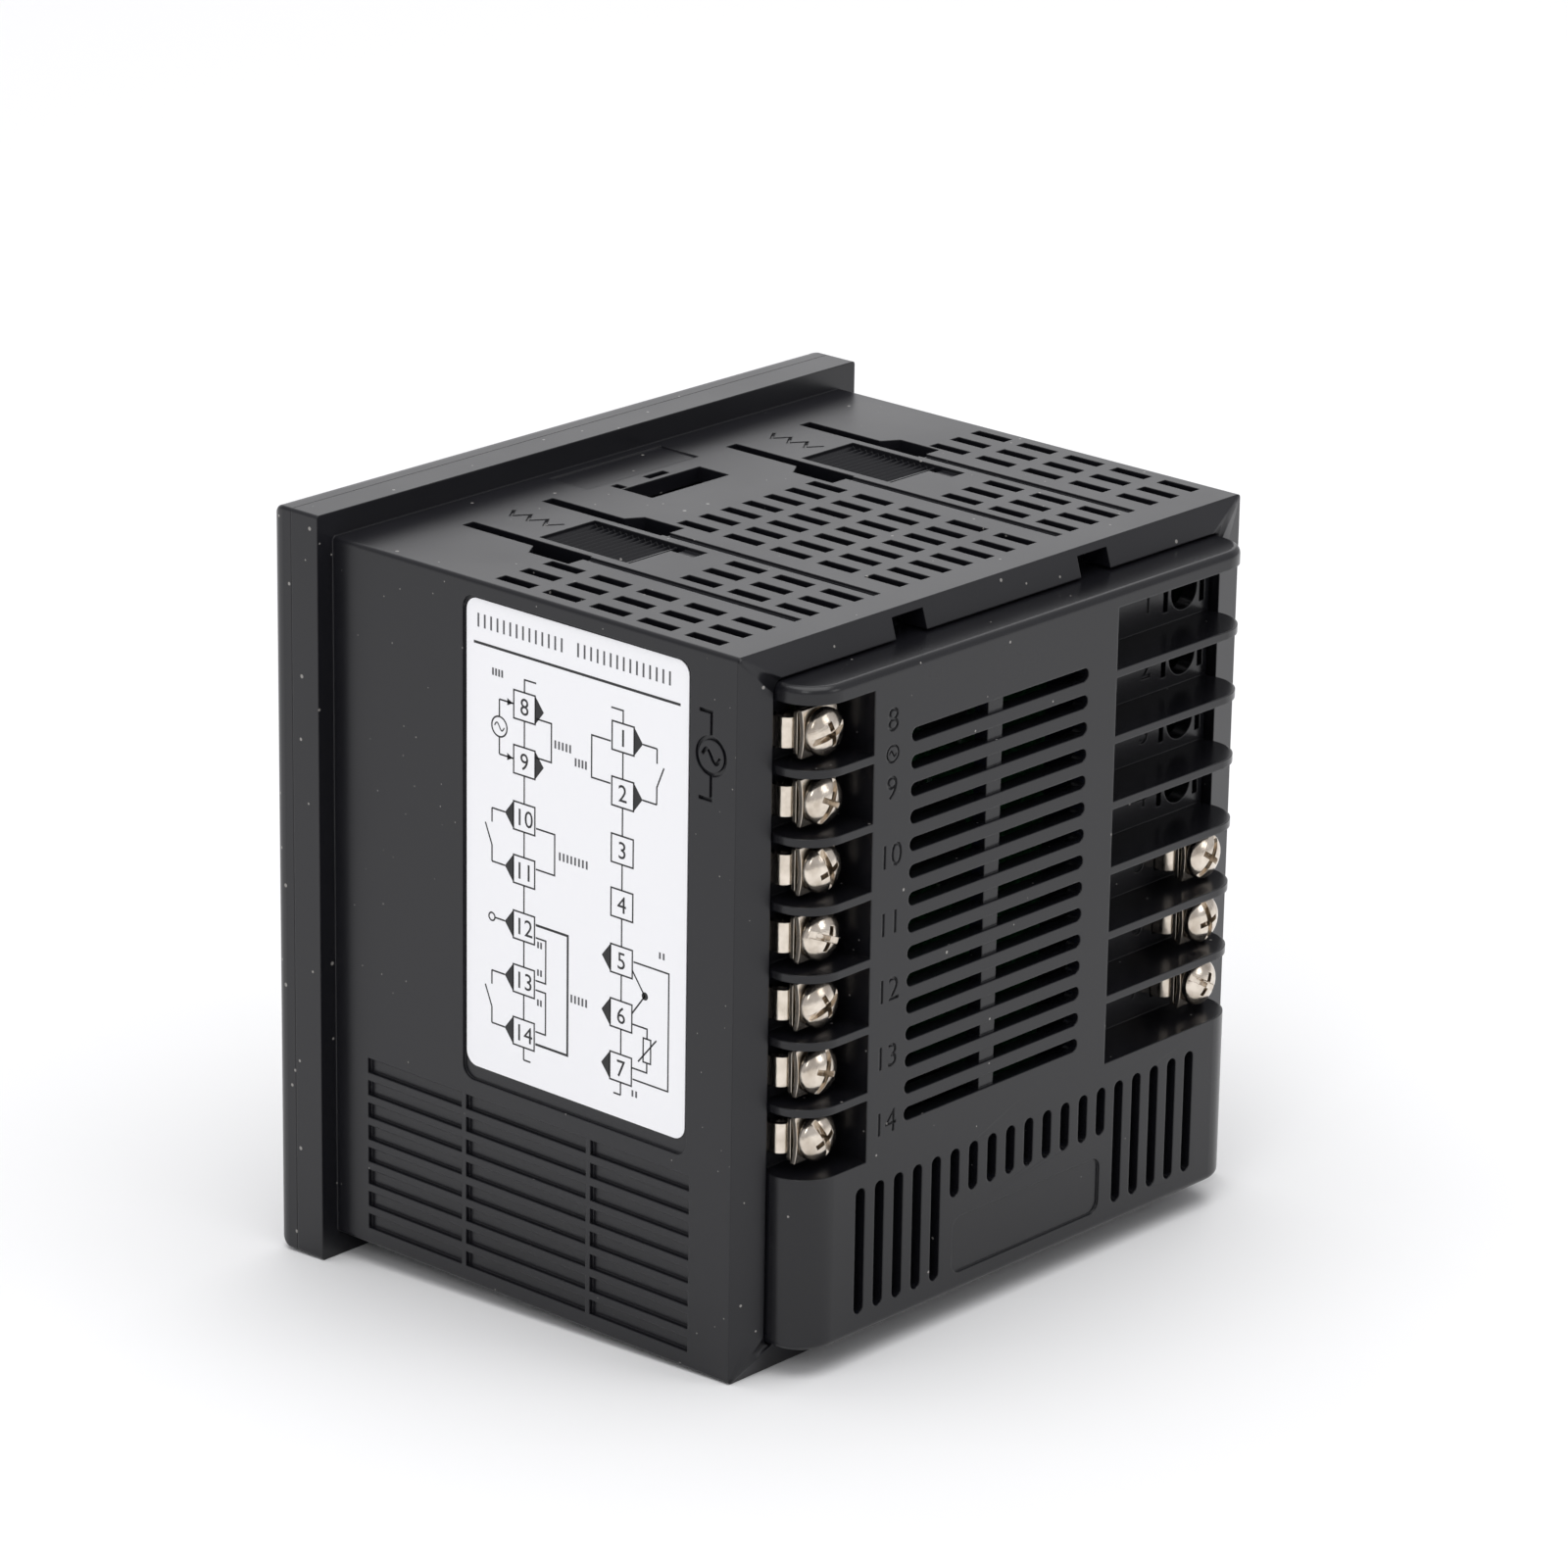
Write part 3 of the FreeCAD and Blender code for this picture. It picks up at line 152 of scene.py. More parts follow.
# %% Moulded plastic
def moulded_plastic(name, colour, bloom, roughness, grain, depth, edge, dust):
    """Sizes are in millimetres. The bloom is the paler tone that handling leaves in places,
    and dust is the radius of the largest speck."""
    material, tree, place = start_material(name)
    cloud = add_node(
        tree, "TexNoise", links={"Vector": place, "Scale": per(17), "Detail": 3.0}
    ).outputs["Fac"]
    tone = add_node(
        tree, "Mix", {"data_type": "RGBA"},
        {0: cloud, MIX_A: linear(colour), MIX_B: linear(bloom)},
    ).outputs[MIX_OUT]

    # the cube of a cell's chance keeps most specks small and a few large
    spacing = 2.0
    cells = add_node(
        tree, "TexVoronoi", links={"Vector": place, "Scale": per(spacing), "Randomness": 1.0}
    )
    chance = add_node(tree, "SeparateColor", links={"Color": cells.outputs["Color"]})
    size = add_node(
        tree, "Math", {"operation": "POWER"}, {0: chance.outputs["Red"], 1: 3.0}
    ).outputs[0]
    radius = add_node(
        tree, "Math", {"operation": "MULTIPLY"}, {0: size, 1: dust / spacing}
    ).outputs[0]
    speck = add_node(
        tree, "Math", {"operation": "LESS_THAN"}, {0: cells.outputs["Distance"], 1: radius}
    ).outputs[0]
    dusted = add_node(
        tree, "Mix", {"data_type": "RGBA"}, {0: speck, MIX_A: tone, MIX_B: linear("#8b8884")}
    ).outputs[MIX_OUT]

    rubbed = add_node(
        tree, "MapRange",
        links={"Value": cloud, "To Min": roughness - 0.05, "To Max": roughness + 0.07},
    ).outputs[0]
    grained = add_node(
        tree, "TexNoise", links={"Vector": place, "Scale": per(grain), "Detail": 2.0}
    ).outputs["Fac"]
    corner = add_node(tree, "Bevel", {"samples": 6}, {"Radius": edge * MM}).outputs[0]
    normal = add_node(
        tree, "Bump",
        links={"Height": grained, "Distance": depth * MM, "Strength": 1.0, "Normal": corner},
    ).outputs[0]
    end_material(
        tree,
        {"Base Color": dusted, "Roughness": rubbed, "IOR": 1.47, "Normal": normal},
    )
    return material


print("ready to make moulded plastics")

# %% [markdown]
# The case's mould is eroded, and the base's is polished, so the base shines a little more.
# The keys are silicone rubber, which is grey, soft to the eye and has rounder edges.

# %% Case, base and keys
abs_case = moulded_plastic(
    "spark_eroded_abs", "#0f0f13", bloom="#15151a", roughness=0.3,
    grain=0.22, depth=0.004, edge=0.22, dust=0.25,
)
abs_base = moulded_plastic(
    "polished_flame_retardant_abs", "#0f0f12", bloom="#151519", roughness=0.24,
    grain=0.35, depth=0.003, edge=0.25, dust=0.2,
)
silicone = moulded_plastic(
    "silicone_rubber", "#3a3b3f", bloom="#434448", roughness=0.62,
    grain=0.12, depth=0.003, edge=0.35, dust=0.15,
)
print("plastics:", abs_case.name, abs_base.name, silicone.name)

# %% [markdown]
# ## Nickel-plated terminals
# Terminals, washers and screws are steel and brass with a bright nickel plate. Nickel is a
# warm white metal. Barrel plating leaves it bright but not a mirror: parts rub on each other
# in the barrel, so there are fine scratches and a faint waviness, and the plate is duller
# in some places than in others. An even roughness would look like chrome, so one noise of
# the size of those patches moves both the colour and the roughness, and a second, drawn out
# along one direction, gives the scratches. Solder is a softer, greyer metal made alike.


# %% Nickel plate
def nickel_plate(name, colour, dull, roughness, edge):
    """Dull is the colour of the worn patches, and edge the edges' radius in millimetres."""
    material, tree, place = start_material(name)
    patches = add_node(
        tree, "TexNoise", links={"Vector": place, "Scale": per(1.6), "Detail": 4.0}
    ).outputs["Fac"]
    patchy = add_node(
        tree, "MapRange", links={"Value": patches, "From Min": 0.35, "From Max": 0.7}
    ).outputs[0]
    tone = add_node(
        tree, "Mix", {"data_type": "RGBA"},
        {0: patchy, MIX_A: linear(colour), MIX_B: linear(dull)},
    ).outputs[MIX_OUT]
    worn = add_node(
        tree, "MapRange",
        links={"Value": patches, "To Min": roughness - 0.06, "To Max": roughness + 0.12},
    ).outputs[0]
    drawn = add_node(
        tree, "Mapping", links={"Vector": place, "Scale": (1.0, 6.0, 1.0)}
    ).outputs[0]
    scratches = add_node(
        tree, "TexNoise", links={"Vector": drawn, "Scale": per(1.1), "Detail": 5.0}
    ).outputs["Fac"]
    corner = add_node(tree, "Bevel", {"samples": 6}, {"Radius": edge * MM}).outputs[0]
    normal = add_node(
        tree, "Bump",
        links={"Height": scratches, "Distance": 0.02 * MM, "Strength": 0.8, "Normal": corner},
    ).outputs[0]
    end_material(
        tree,
        {"Base Color": tone, "Metallic": 1.0, "Roughness": worn, "Normal": normal},
    )
    return material


nickel_strip = nickel_plate(
    "nickel_plated_brass_strip", "#e6dccf", dull="#cabfb0", roughness=0.2, edge=0.12
)
nickel_screw = nickel_plate(
    "nickel_plated_steel", "#e3d9cc", dull="#c0b4a5", roughness=0.16, edge=0.1
)
tin = nickel_plate("tin_solder", "#c9c9cb", dull="#a7a8aa", roughness=0.34, edge=0.05)
print("metals:", nickel_strip.name, nickel_screw.name, tin.name)

# %% [markdown]
# ## Materials of one colour
# Many small parts have one even colour, and differ in gloss and in the grain that their
# making leaves. A graph for each would repeat itself, so one function serves them all: a
# noise of the grain's real size drives a shallow bump, and what else the shader needs is
# passed on by name.


# %% Even materials
def even_material(name, colour, roughness, grain=0.2, depth=0.002, **more):
    """A material of one colour with a fine grain, whose size and depth are in millimetres.
    Further inputs of the shader have underscores for spaces in their names."""
    material, tree, place = start_material(name)
    grained = add_node(
        tree, "TexNoise", links={"Vector": place, "Scale": per(grain), "Detail": 2.0}
    ).outputs["Fac"]
    normal = add_node(
        tree, "Bump", links={"Height": grained, "Distance": depth * MM, "Strength": 1.0}
    ).outputs[0]
    links = {"Base Color": linear(colour), "Roughness": roughness, "Normal": normal}
    links.update({key.replace("_", " "): value for key, value in more.items()})
    end_material(tree, links)
    return material


print("ready to make even materials")

# %% [markdown]
# ### Label and inks
# The label is white polyester film with a satin top coat. It is rolled on over adhesive,
# which leaves a faint waviness just under a millimetre long. Screen ink dries matt, and it is
# thick enough to keep the mesh's fine grain.

# %% Label and inks
label_film = even_material("white_polyester_label", "#fbfbfd", 0.36, 0.8, 0.003, IOR=1.5)
ink = even_material("black_screen_ink", "#1b1b1d", 0.5, 0.15, 0.002, IOR=1.5)
# a thin grey stands for lettering, which is a mix of black strokes and white gaps
grey_ink = even_material("grey_halftone_ink", "#58585b", 0.5, 0.15, 0.002, IOR=1.5)
white_ink = even_material("white_screen_ink", "#d9dadb", 0.5, 0.15, 0.002, IOR=1.5)
print("label and inks:", label_film.name, ink.name, grey_ink.name, white_ink.name)

# %% [markdown]
# ### The front's plastics
# The film over the front is polyester too, printed on its back and embossed with a fine matt
# texture. The window is cast acrylic, dyed grey and polished, so that unlit digits hardly
# show behind it. Digits and lamps are cast epoxy, milky so that they glow evenly when lit.

# %% Front plastics
# embossed by a roller: matt, and fine enough that it reads as a soft sheen
overlay = even_material("matt_polyester_overlay", "#242428", 0.48, 0.12, 0.004, IOR=1.6)
# cast between glass plates, so it is nearly flat; light is dimmed as it enters and leaves
smoked = even_material(
    "smoked_acrylic", "#bbbcc1", 0.03, 6.0, 0.0003, IOR=1.49, Transmission_Weight=1.0
)
# painted grey so that unlit segments don't stand out
display_face = even_material("display_grey_face", "#3b3c3f", 0.42, 0.2, 0.002, IOR=1.5)
red_segment = even_material("red_display_resin", "#a43a32", 0.3, 0.3, 0.001, IOR=1.5)
green_segment = even_material("green_display_resin", "#5d9a63", 0.3, 0.3, 0.001, IOR=1.5)
# cast in a polished mould, with powder in it that scatters the light
lamp_resin = even_material(
    "diffused_lamp_resin", "#c9685c", 0.25, 0.4, 0.001, IOR=1.53, Subsurface_Weight=0.3,
    Subsurface_Scale=0.001,
)
print("front:", overlay.name, smoked.name, display_face.name, lamp_resin.name)

# %% [markdown]
# ### What sits on the boards
# Each kind of component has its own skin, which is how they are told apart at a glance: a
# moulded relay case, a shrunk sleeve, matt epoxy, wound tape, and bare or gold-plated metal.

# %% Component skins
# injection moulded with a glossy mould, and a slight sink in its broad faces
relay_blue = even_material("blue_polyester_case", "#2d5aa6", 0.33, 0.4, 0.003, IOR=1.55)
# tube that is shrunk on with heat: glossy, with faint waves where it grips the can
sleeve = even_material("shrunk_pvc_sleeve", "#23262d", 0.28, 0.9, 0.004, IOR=1.53)
stripe = even_material("grey_sleeve_stripe", "#9fa3a8", 0.3, 0.9, 0.003, IOR=1.53)
# pressed in a blasted mould, which leaves it evenly dull
epoxy = even_material("black_chip_epoxy", "#262628", 0.55, 0.08, 0.004, IOR=1.55)
# smooth tape over wound wire, whose turns show through as soft ridges
tape = even_material("yellow_polyester_tape", "#d8b43c", 0.22, 1.6, 0.02, IOR=1.6)
# moulded with glass fibre, which dulls it
switch_black = even_material("black_polyamide", "#202022", 0.45, 0.2, 0.003, IOR=1.53)
# drawn sheet, with a fine matt skin from the tool
aluminium = even_material("bare_aluminium", "#c4c5c7", 0.32, 0.5, 0.004, Metallic=1.0)
# a flash of gold on rolled copper: warm, smooth, and just off a mirror
gold = even_material("gold_flashed_copper", "#d7b36a", 0.25, 0.3, 0.002, Metallic=1.0)
print("components:", relay_blue.name, sleeve.name, epoxy.name, tape.name, gold.name)

# %% [markdown]
# ## Circuit board
# The boards are glass-epoxy laminate under green solder resist. The resist is thin, so the
# copper tracks stand up through it and show as paler green. Real tracks could be drawn one
# by one, but the boards are only glimpsed. Tracks keep about the same distance from each
# other, which is what the borders between cells do, so the pattern is the distance to the
# nearest border of a cell pattern, cut off at half a track's width. Copper of 0.035 mm
# gives the bump its height.

# %% Solder resist
laminate, tree, place = start_material("solder_resist_on_laminate")
borders = add_node(
    tree, "TexVoronoi", {"feature": "DISTANCE_TO_EDGE"},
    {"Vector": place, "Scale": per(2.6), "Randomness": 0.85},
).outputs["Distance"]
track = add_node(
    tree, "MapRange",
    links={"Value": borders, "From Min": 0.06, "From Max": 0.09, "To Min": 1.0, "To Max": 0.0},
).outputs[0]
green = add_node(
    tree, "Mix", {"data_type": "RGBA"},
    {0: track, MIX_A: linear("#1b5230"), MIX_B: linear("#28663d")},
).outputs[MIX_OUT]
raised = add_node(
    tree, "Bump", links={"Height": track, "Distance": 0.035 * MM, "Strength": 0.8}
).outputs[0]
end_material(tree, {"Base Color": green, "Roughness": 0.3, "IOR": 1.55, "Normal": raised})
print("board:", laminate.name)

# %% [markdown]
# ## Transformer core
# The core is a stack of 0.5 mm steel sheets, dipped in varnish that stains it brown. The
# sheets could be modelled, but their joints are finer than the light can show, so a wave
# texture grooves a plain block. A wave repeats every pi / 10 of a unit, so its scale is that
# length over the sheet's thickness.

# %% Core sheets
SHEET = 0.5
core_steel, tree, place = start_material("varnished_core_sheets")
sheets = add_node(
    tree, "TexWave", {"bands_direction": "X"},
    {"Vector": place, "Scale": math.pi / 10 * per(SHEET)},
).outputs["Fac"]
stain = add_node(
    tree, "TexNoise", links={"Vector": place, "Scale": per(6), "Detail": 3.0}
).outputs["Fac"]
steel = add_node(
    tree, "Mix", {"data_type": "RGBA"},
    {0: stain, MIX_A: linear("#6f6c68"), MIX_B: linear("#4c4741")},
).outputs[MIX_OUT]
grooved = add_node(
    tree, "Bump", links={"Height": sheets, "Distance": 0.05 * MM, "Strength": 0.7}
).outputs[0]
end_material(
    tree, {"Base Color": steel, "Metallic": 0.85, "Roughness": 0.42, "Normal": grooved}
)
print("core:", core_steel.name)

# %% [markdown]
# ## Finishes for the CAD nodes
# Each CAD node already has a slot that says what it is made of. Putting the finished
# material into that slot keeps the node as it is, and any later solid of the same slot
# takes the same finish.

# %% Put the materials in the slots
finishes = {
    "black_case_plastic": abs_case,
    "black_base_plastic": abs_base,
    "black_bezel_plastic": abs_case,
    "white_label": label_film,
    "printed_film": overlay,
    "smoked_window": smoked,
    "green_laminate": laminate,
    "display_plastic": display_face,
    "lamp_plastic": lamp_resin,
    "switch_plastic": switch_black,
    "core_steel": core_steel,
    "coil_tape": tape,
    "relay_plastic": relay_blue,
    "capacitor_sleeve": sleeve,
    "chip_plastic": epoxy,
    "key_plastic": silicone,
    "nickel_plate": nickel_strip,
    "nickel_screw": nickel_screw,
}
for node in nodes.values():
    for index, old in enumerate(node.data.materials):
        node.data.materials[index] = finishes[old.name]
print("finished nodes:", len(nodes))

# %% [markdown]
# ## Drawing flat shapes
# Print and moulded marks are drawn flat, in millimetres, as across and up. Curves or an
# imported drawing would do as well, but nearly everything here is a filled outline or a line
# of even width, and two short functions give those as plain faces. A line's corners are
# mitred: each corner point lies on the line that halves the corner.


# %% Outlines and lines
def polygon(bm, points):
    """A filled outline."""
    bm.faces.new([bm.verts.new((across, up, 0)) for across, up in points])


def box_points(left, low, right, high):
    return [(left, low), (right, low), (right, high), (left, high)]


def ring_points(centre, radius, count=28):
    turns = [2 * math.pi * step / count for step in range(count)]
    return [
        (centre[0] + radius * math.cos(turn), centre[1] + radius * math.sin(turn))
        for turn in turns
    ]


def ribbon(bm, points, width, closed=False):
    """A line of even width through the points, with mitred corners."""
    places = [Vector(point) for point in points]
    count = len(places)
    edges = []
    for index, here in enumerate(places):
        after = places[(index + 1) % count] if closed or index < count - 1 else None
        before = places[index - 1] if closed or index else None
        into = (here - before if before else after - here).normalized()
        out = (after - here if after else here - before).normalized()
        side = Vector((-into.y, into.x))
        mitre = Vector((-into.y - out.y, into.x + out.x)).normalized()
        reach = mitre * (width / 2 / max(0.35, mitre.dot(side)))
        edges.append([bm.verts.new((*(here + turn * reach), 0)) for turn in (1, -1)])
    for index in range(count if closed else count - 1):
        (a, b), (d, c) = edges[index], edges[(index + 1) % count]
        bm.faces.new((a, b, c, d))


def mains_sign(bm, centre, radius, wave, widths, count=28):
    """A ring with one wave in it. The wave has half its length and its height, and the
    widths are the ring's line and the wave's."""
    ribbon(bm, ring_points(centre, radius, count), widths[0], closed=True)
    half, rise = wave
    points = [
        (centre[0] + half * (step / 8 - 1), centre[1] + rise * math.sin(step * math.pi / 8))
        for step in range(17)
    ]
    ribbon(bm, points, widths[1])


print("drawing: outlines, rings, lines and the mains sign")

# %% [markdown]
# Figures come from Blender's own font. A flat shape with a thickness is a film of ink if it
# stands on a face, and a cutter if it reaches into it.


# %% Figures and thickness
def figures(bm, text, centre, height):
    """Plain figures, centred. Figures of this font are 0.7 of its size high."""
    curve = bpy.data.curves.new("figures", "FONT")
    curve.body = text
    curve.size = height / 0.7
    curve.align_x = "CENTER"
    curve.resolution_u = 3
    holder = bpy.data.objects.new("figures", curve)
    mesh = bpy.data.meshes.new_from_object(holder)
    mesh.transform(Matrix.Translation((centre[0], centre[1] - height / 2, 0)))
    bm.from_mesh(mesh)
    bpy.data.objects.remove(holder)
    bpy.data.meshes.remove(mesh)
    bpy.data.curves.remove(curve)


def thicken(bm, low, high):
    """Gives flat shapes a thickness, from low to high above their face."""
    bmesh.ops.remove_doubles(bm, verts=bm.verts[:], dist=0.0001)
    bmesh.ops.solidify(bm, geom=bm.faces[:], thickness=1.0)
    middle = sum(v.co.z for v in bm.verts) / len(bm.verts)
    for vert in bm.verts:
        vert.co.z = low if vert.co.z < middle else high
    bmesh.ops.recalc_face_normals(bm, faces=bm.faces[:])


INK_FILM = 0.02
print("ink lies", INK_FILM, "mm thick")

# %% [markdown]
# A flat drawing is stood on the face it belongs to. The face is given by one point of it and
# by the directions of the frame that are right and up for somebody who looks at it, so a
# drawing is never mirrored. Seen from behind, right is towards -X.


# %% Faces to draw on
def face_place(origin, right, up):
    """From flat millimetres to metres on a face: right and up are directions of the frame."""
    out = Vector(right).cross(Vector(up))
    turn = Matrix((right, up, out)).transposed().to_4x4()
    return Matrix.Scale(MM, 4) @ Matrix.Translation(origin) @ turn


# the label lies 0.28 mm below the side wall that is round it
LABEL = face_place((45.12, 0, 0), (0, 1, 0), (0, 0, 1))
SIDE_WALL = face_place((45.4, 0, 0), (0, 1, 0), (0, 0, 1))
TOP_WALL = face_place((0, 0, 44.9), (1, 0, 0), (0, 1, 0))
REAR = face_place((0, 72.6, 0), (-1, 0, 0), (0, 0, 1))
BAY_FLOOR = face_place((0, 65.4, 0), (-1, 0, 0), (0, 0, 1))
print("faces to draw on: 5")

# %% [markdown]
# ## Making pieces
# Whatever is added to the frame has to move with the body it is fixed to, and says so when
# it is made. One function links the shape, gives it its finish and sets it on its body.


# %% Pieces
def new_object(name, bm):
    """An object made of a shape, which is used up."""
    mesh = bpy.data.meshes.new(name)
    bm.to_mesh(mesh)
    bm.free()
    made = bpy.data.objects.new(name, mesh)
    bpy.context.scene.collection.objects.link(made)
    return made


def piece(name, bm, finish, body, smooth=False):
    """A piece whose shape is already in place. It moves with a CAD body. Ink and solder
    have no slot of their own in the record, so they are left without one."""
    made = new_object(name, bm)
    made.data.materials.append(finish)
    if smooth:
        made.data.shade_smooth()
        made.data.set_sharp_from_angle(angle=math.radians(35))
    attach(made, body)
    print("made", name, "of", len(made.data.polygons), "faces")
    return made


# %% [markdown]
# ## The label's print
# The label tells the fitter which terminal is which. An image would blur close up, so the
# print is a film of ink 0.02 mm thick that stands on the label. Two columns of numbered boxes
# stand for the two banks of screws, each joined by a line for the terminal block.

# %% Boxes and numbers
LEFT, RIGHT = 31.7, 47.6
HEIGHTS = [31.0, 24.2, 17.2, 10.5, 3.5, -3.3, -10.0]
HALF = 1.75
LINE = 0.2
TAIL = 1.6
drawing = bmesh.new()
ribbon(drawing, [(23.4, 37.2), (56.6, 37.2)], 0.32)
for column, first, hook in ((LEFT, 8, 1.9), (RIGHT, 1, -1.9)):
    for index, height in enumerate(HEIGHTS):
        corners = box_points(column - HALF, height - HALF, column + HALF, height + HALF)
        ribbon(drawing, corners, LINE, closed=True)
        figures(drawing, str(first + index), (column, height), 2.1)
        below = HEIGHTS[index + 1] + HALF if index < 6 else height - HALF - TAIL
        ribbon(drawing, [(column, height - HALF), (column, below)], LINE)
    top = HEIGHTS[0] + HALF
    ends = [(column, top), (column, top + TAIL), (column + hook, top + TAIL)]
    ribbon(drawing, ends, LINE)
    low = HEIGHTS[-1] - HALF - TAIL
    ribbon(drawing, [(column, low), (column + hook * 0.6, low)], LINE)
print("boxes:", 2 * len(HEIGHTS))

# %% [markdown]
# Wedges, switches, a mains source, a thermocouple and a resistor are the usual wiring
# symbols, set out here in a plain layout. Those that come more than once are functions.


# %% Wiring symbols
def wedge(column, height, way):
    """A filled arrow head on a box's side, which says that a wire goes on there."""
    edge = column + way * HALF
    tip = (edge + way * 1.4, height)
    points = [(edge, height - HALF), tip, (edge, height + HALF)]
    polygon(drawing, points if way > 0 else points[::-1])


def bracket(column, upper, lower, reach, way, width=LINE):
    """A line from one box round to another."""
    edge = column + way * (HALF + 0.2)
    far = column + way * reach
    ribbon(drawing, [(edge, upper), (far, upper), (far, lower), (edge, lower)], width)


def switch(across, upper, lower, lean):
    """A contact drawn open, on the line between two boxes."""
    middle = (upper + lower) / 2
    ribbon(drawing, [(across, upper), (across, middle + 1.6)], LINE)
    ribbon(drawing, [(across + lean, middle + 1.3), (across, middle - 1.3)], LINE)
    ribbon(drawing, [(across, middle - 1.3), (across, lower)], LINE)


for height in HEIGHTS[:2]:
    wedge(LEFT, height, 1)
    wedge(RIGHT, height, 1)
for height in HEIGHTS[2:]:
    wedge(LEFT, height, -1)
for height in HEIGHTS[4:]:
    wedge(RIGHT, height, -1)
print("wedges:", 2 + 2 + len(HEIGHTS[2:]) + len(HEIGHTS[4:]))

# %% [markdown]
# The mains source feeds boxes 8 and 9, and the outputs switch the boxes below it and beside
# box 1. Their wires end at the wedges' tips.

# %% Source and switches
WEDGE_TIP = HALF + 1.4
source = (27.6, (HEIGHTS[0] + HEIGHTS[1]) / 2)
RING = 1.25
mains_sign(drawing, source, RING, wave=(0.8, 0.45), widths=(LINE, 0.16))
for height, sign in ((HEIGHTS[0], 1), (HEIGHTS[1], -1)):
    ribbon(drawing, [(source[0], source[1] + sign * RING), (source[0], height)], LINE)
    ribbon(drawing, [(source[0], height), (LEFT - HALF, height)], LINE)
    polygon(drawing, [(28.9, height - 0.45), (29.8, height), (28.9, height + 0.45)])

SWITCH_LEFT, SWITCH_RIGHT, LEAN = 26.4, 53.0, 1.1
switch(SWITCH_LEFT, HEIGHTS[2], HEIGHTS[3], -LEAN)
switch(SWITCH_LEFT, HEIGHTS[5], HEIGHTS[6], -LEAN)
for height in (HEIGHTS[2], HEIGHTS[3], HEIGHTS[5], HEIGHTS[6]):
    ribbon(drawing, [(SWITCH_LEFT, height), (LEFT - WEDGE_TIP, height)], LINE)
ribbon(drawing, [(SWITCH_LEFT + 0.5, HEIGHTS[4]), (LEFT - WEDGE_TIP, HEIGHTS[4])], LINE)
ribbon(drawing, ring_points((SWITCH_LEFT, HEIGHTS[4]), 0.5, 16), LINE, closed=True)
switch(SWITCH_RIGHT, HEIGHTS[0], HEIGHTS[1], LEAN)
for height in HEIGHTS[:2]:
    ribbon(drawing, [(RIGHT + WEDGE_TIP, height), (SWITCH_RIGHT, height)], LINE)
print("source at", source)

# %% [markdown]
# Brackets group the boxes that belong together. A thermocouple, whose two wires meet in a
# bead, goes across boxes 5 and 6, and a resistor with its arrow across 6 and 7.

# %% Brackets and sensors
bracket(LEFT, HEIGHTS[0] - 1.0, HEIGHTS[1] + 1.0, 4.4, 1)
bracket(LEFT, HEIGHTS[2] - 0.8, HEIGHTS[3] + 0.8, 5.0, 1)
bracket(LEFT, HEIGHTS[4] + 0.8, HEIGHTS[6] - 0.8, 7.2, 1, 0.3)
bracket(LEFT, HEIGHTS[4] - 0.8, HEIGHTS[5] + 0.6, 3.6, 1)
bracket(LEFT, HEIGHTS[5] - 0.6, HEIGHTS[6] + 0.8, 3.6, 1)
bracket(RIGHT, HEIGHTS[0] - 0.8, HEIGHTS[1] + 0.8, 5.0, -1)
bracket(RIGHT, HEIGHTS[4] + 0.4, HEIGHTS[6] - 0.8, 7.6, 1)

EDGE = RIGHT + HALF
bead = (51.4, (HEIGHTS[4] + HEIGHTS[5]) / 2)
polygon(drawing, ring_points(bead, 0.5, 16))
ribbon(drawing, [(EDGE, HEIGHTS[4] - 0.7), bead, (EDGE, HEIGHTS[5] + 0.7)], LINE)
middle = (HEIGHTS[5] + HEIGHTS[6]) / 2
ribbon(drawing, box_points(51.2, middle - 1.5, 52.4, middle + 1.5), LINE, closed=True)
ribbon(drawing, [(50.4, middle - 1.7), (53.3, middle + 1.7)], LINE)
for start, end in ((HEIGHTS[5] - 0.6, middle + 1.5), (HEIGHTS[6] + 0.6, middle - 1.5)):
    ribbon(drawing, [(EDGE, start), (51.8, start), (51.8, end)], LINE)

# outlines are drawn either way round, so all are turned to face outwards
bmesh.ops.recalc_face_normals(drawing, faces=drawing.faces[:])
thicken(drawing, 0.0, INK_FILM)
drawing.transform(LABEL)
piece("label_print", drawing, ink, "housing")

# %% [markdown]
# Lettering is left as short grey bars, which give a line of small type its tone without
# saying anything. Each row has its start, its end, the height of its middle and its rise.

# %% Lettering bars
LETTERING = (
    (24.0, 38.6, 40.0, 1.7), (40.2, 55.8, 40.0, 1.7), (26.4, 28.4, 34.2, 0.9),
    (36.6, 39.6, 27.6, 1.0), (39.9, 42.1, 26.2, 1.0), (37.4, 42.4, 13.9, 1.0),
    (33.9, 34.9, 1.9, 0.8), (33.9, 34.9, -1.6, 0.8), (33.9, 34.9, -5.4, 0.8),
    (39.4, 42.4, -3.4, 1.0), (53.6, 54.8, 5.8, 0.8), (49.4, 50.6, -12.6, 0.8),
)
LETTER_PITCH = 0.62
STROKE = 0.28
bars = bmesh.new()
for start, end, height, rise in LETTERING:
    steps = round((end - start) / (LETTER_PITCH * rise))
    for step in range(steps):
        left = start + (end - start) * step / steps
        polygon(bars, box_points(left, height - rise / 2, left + STROKE, height + rise / 2))
thicken(bars, 0.0, INK_FILM)
bars.transform(LABEL)
piece("label_lettering_bars", bars, grey_ink, "housing")

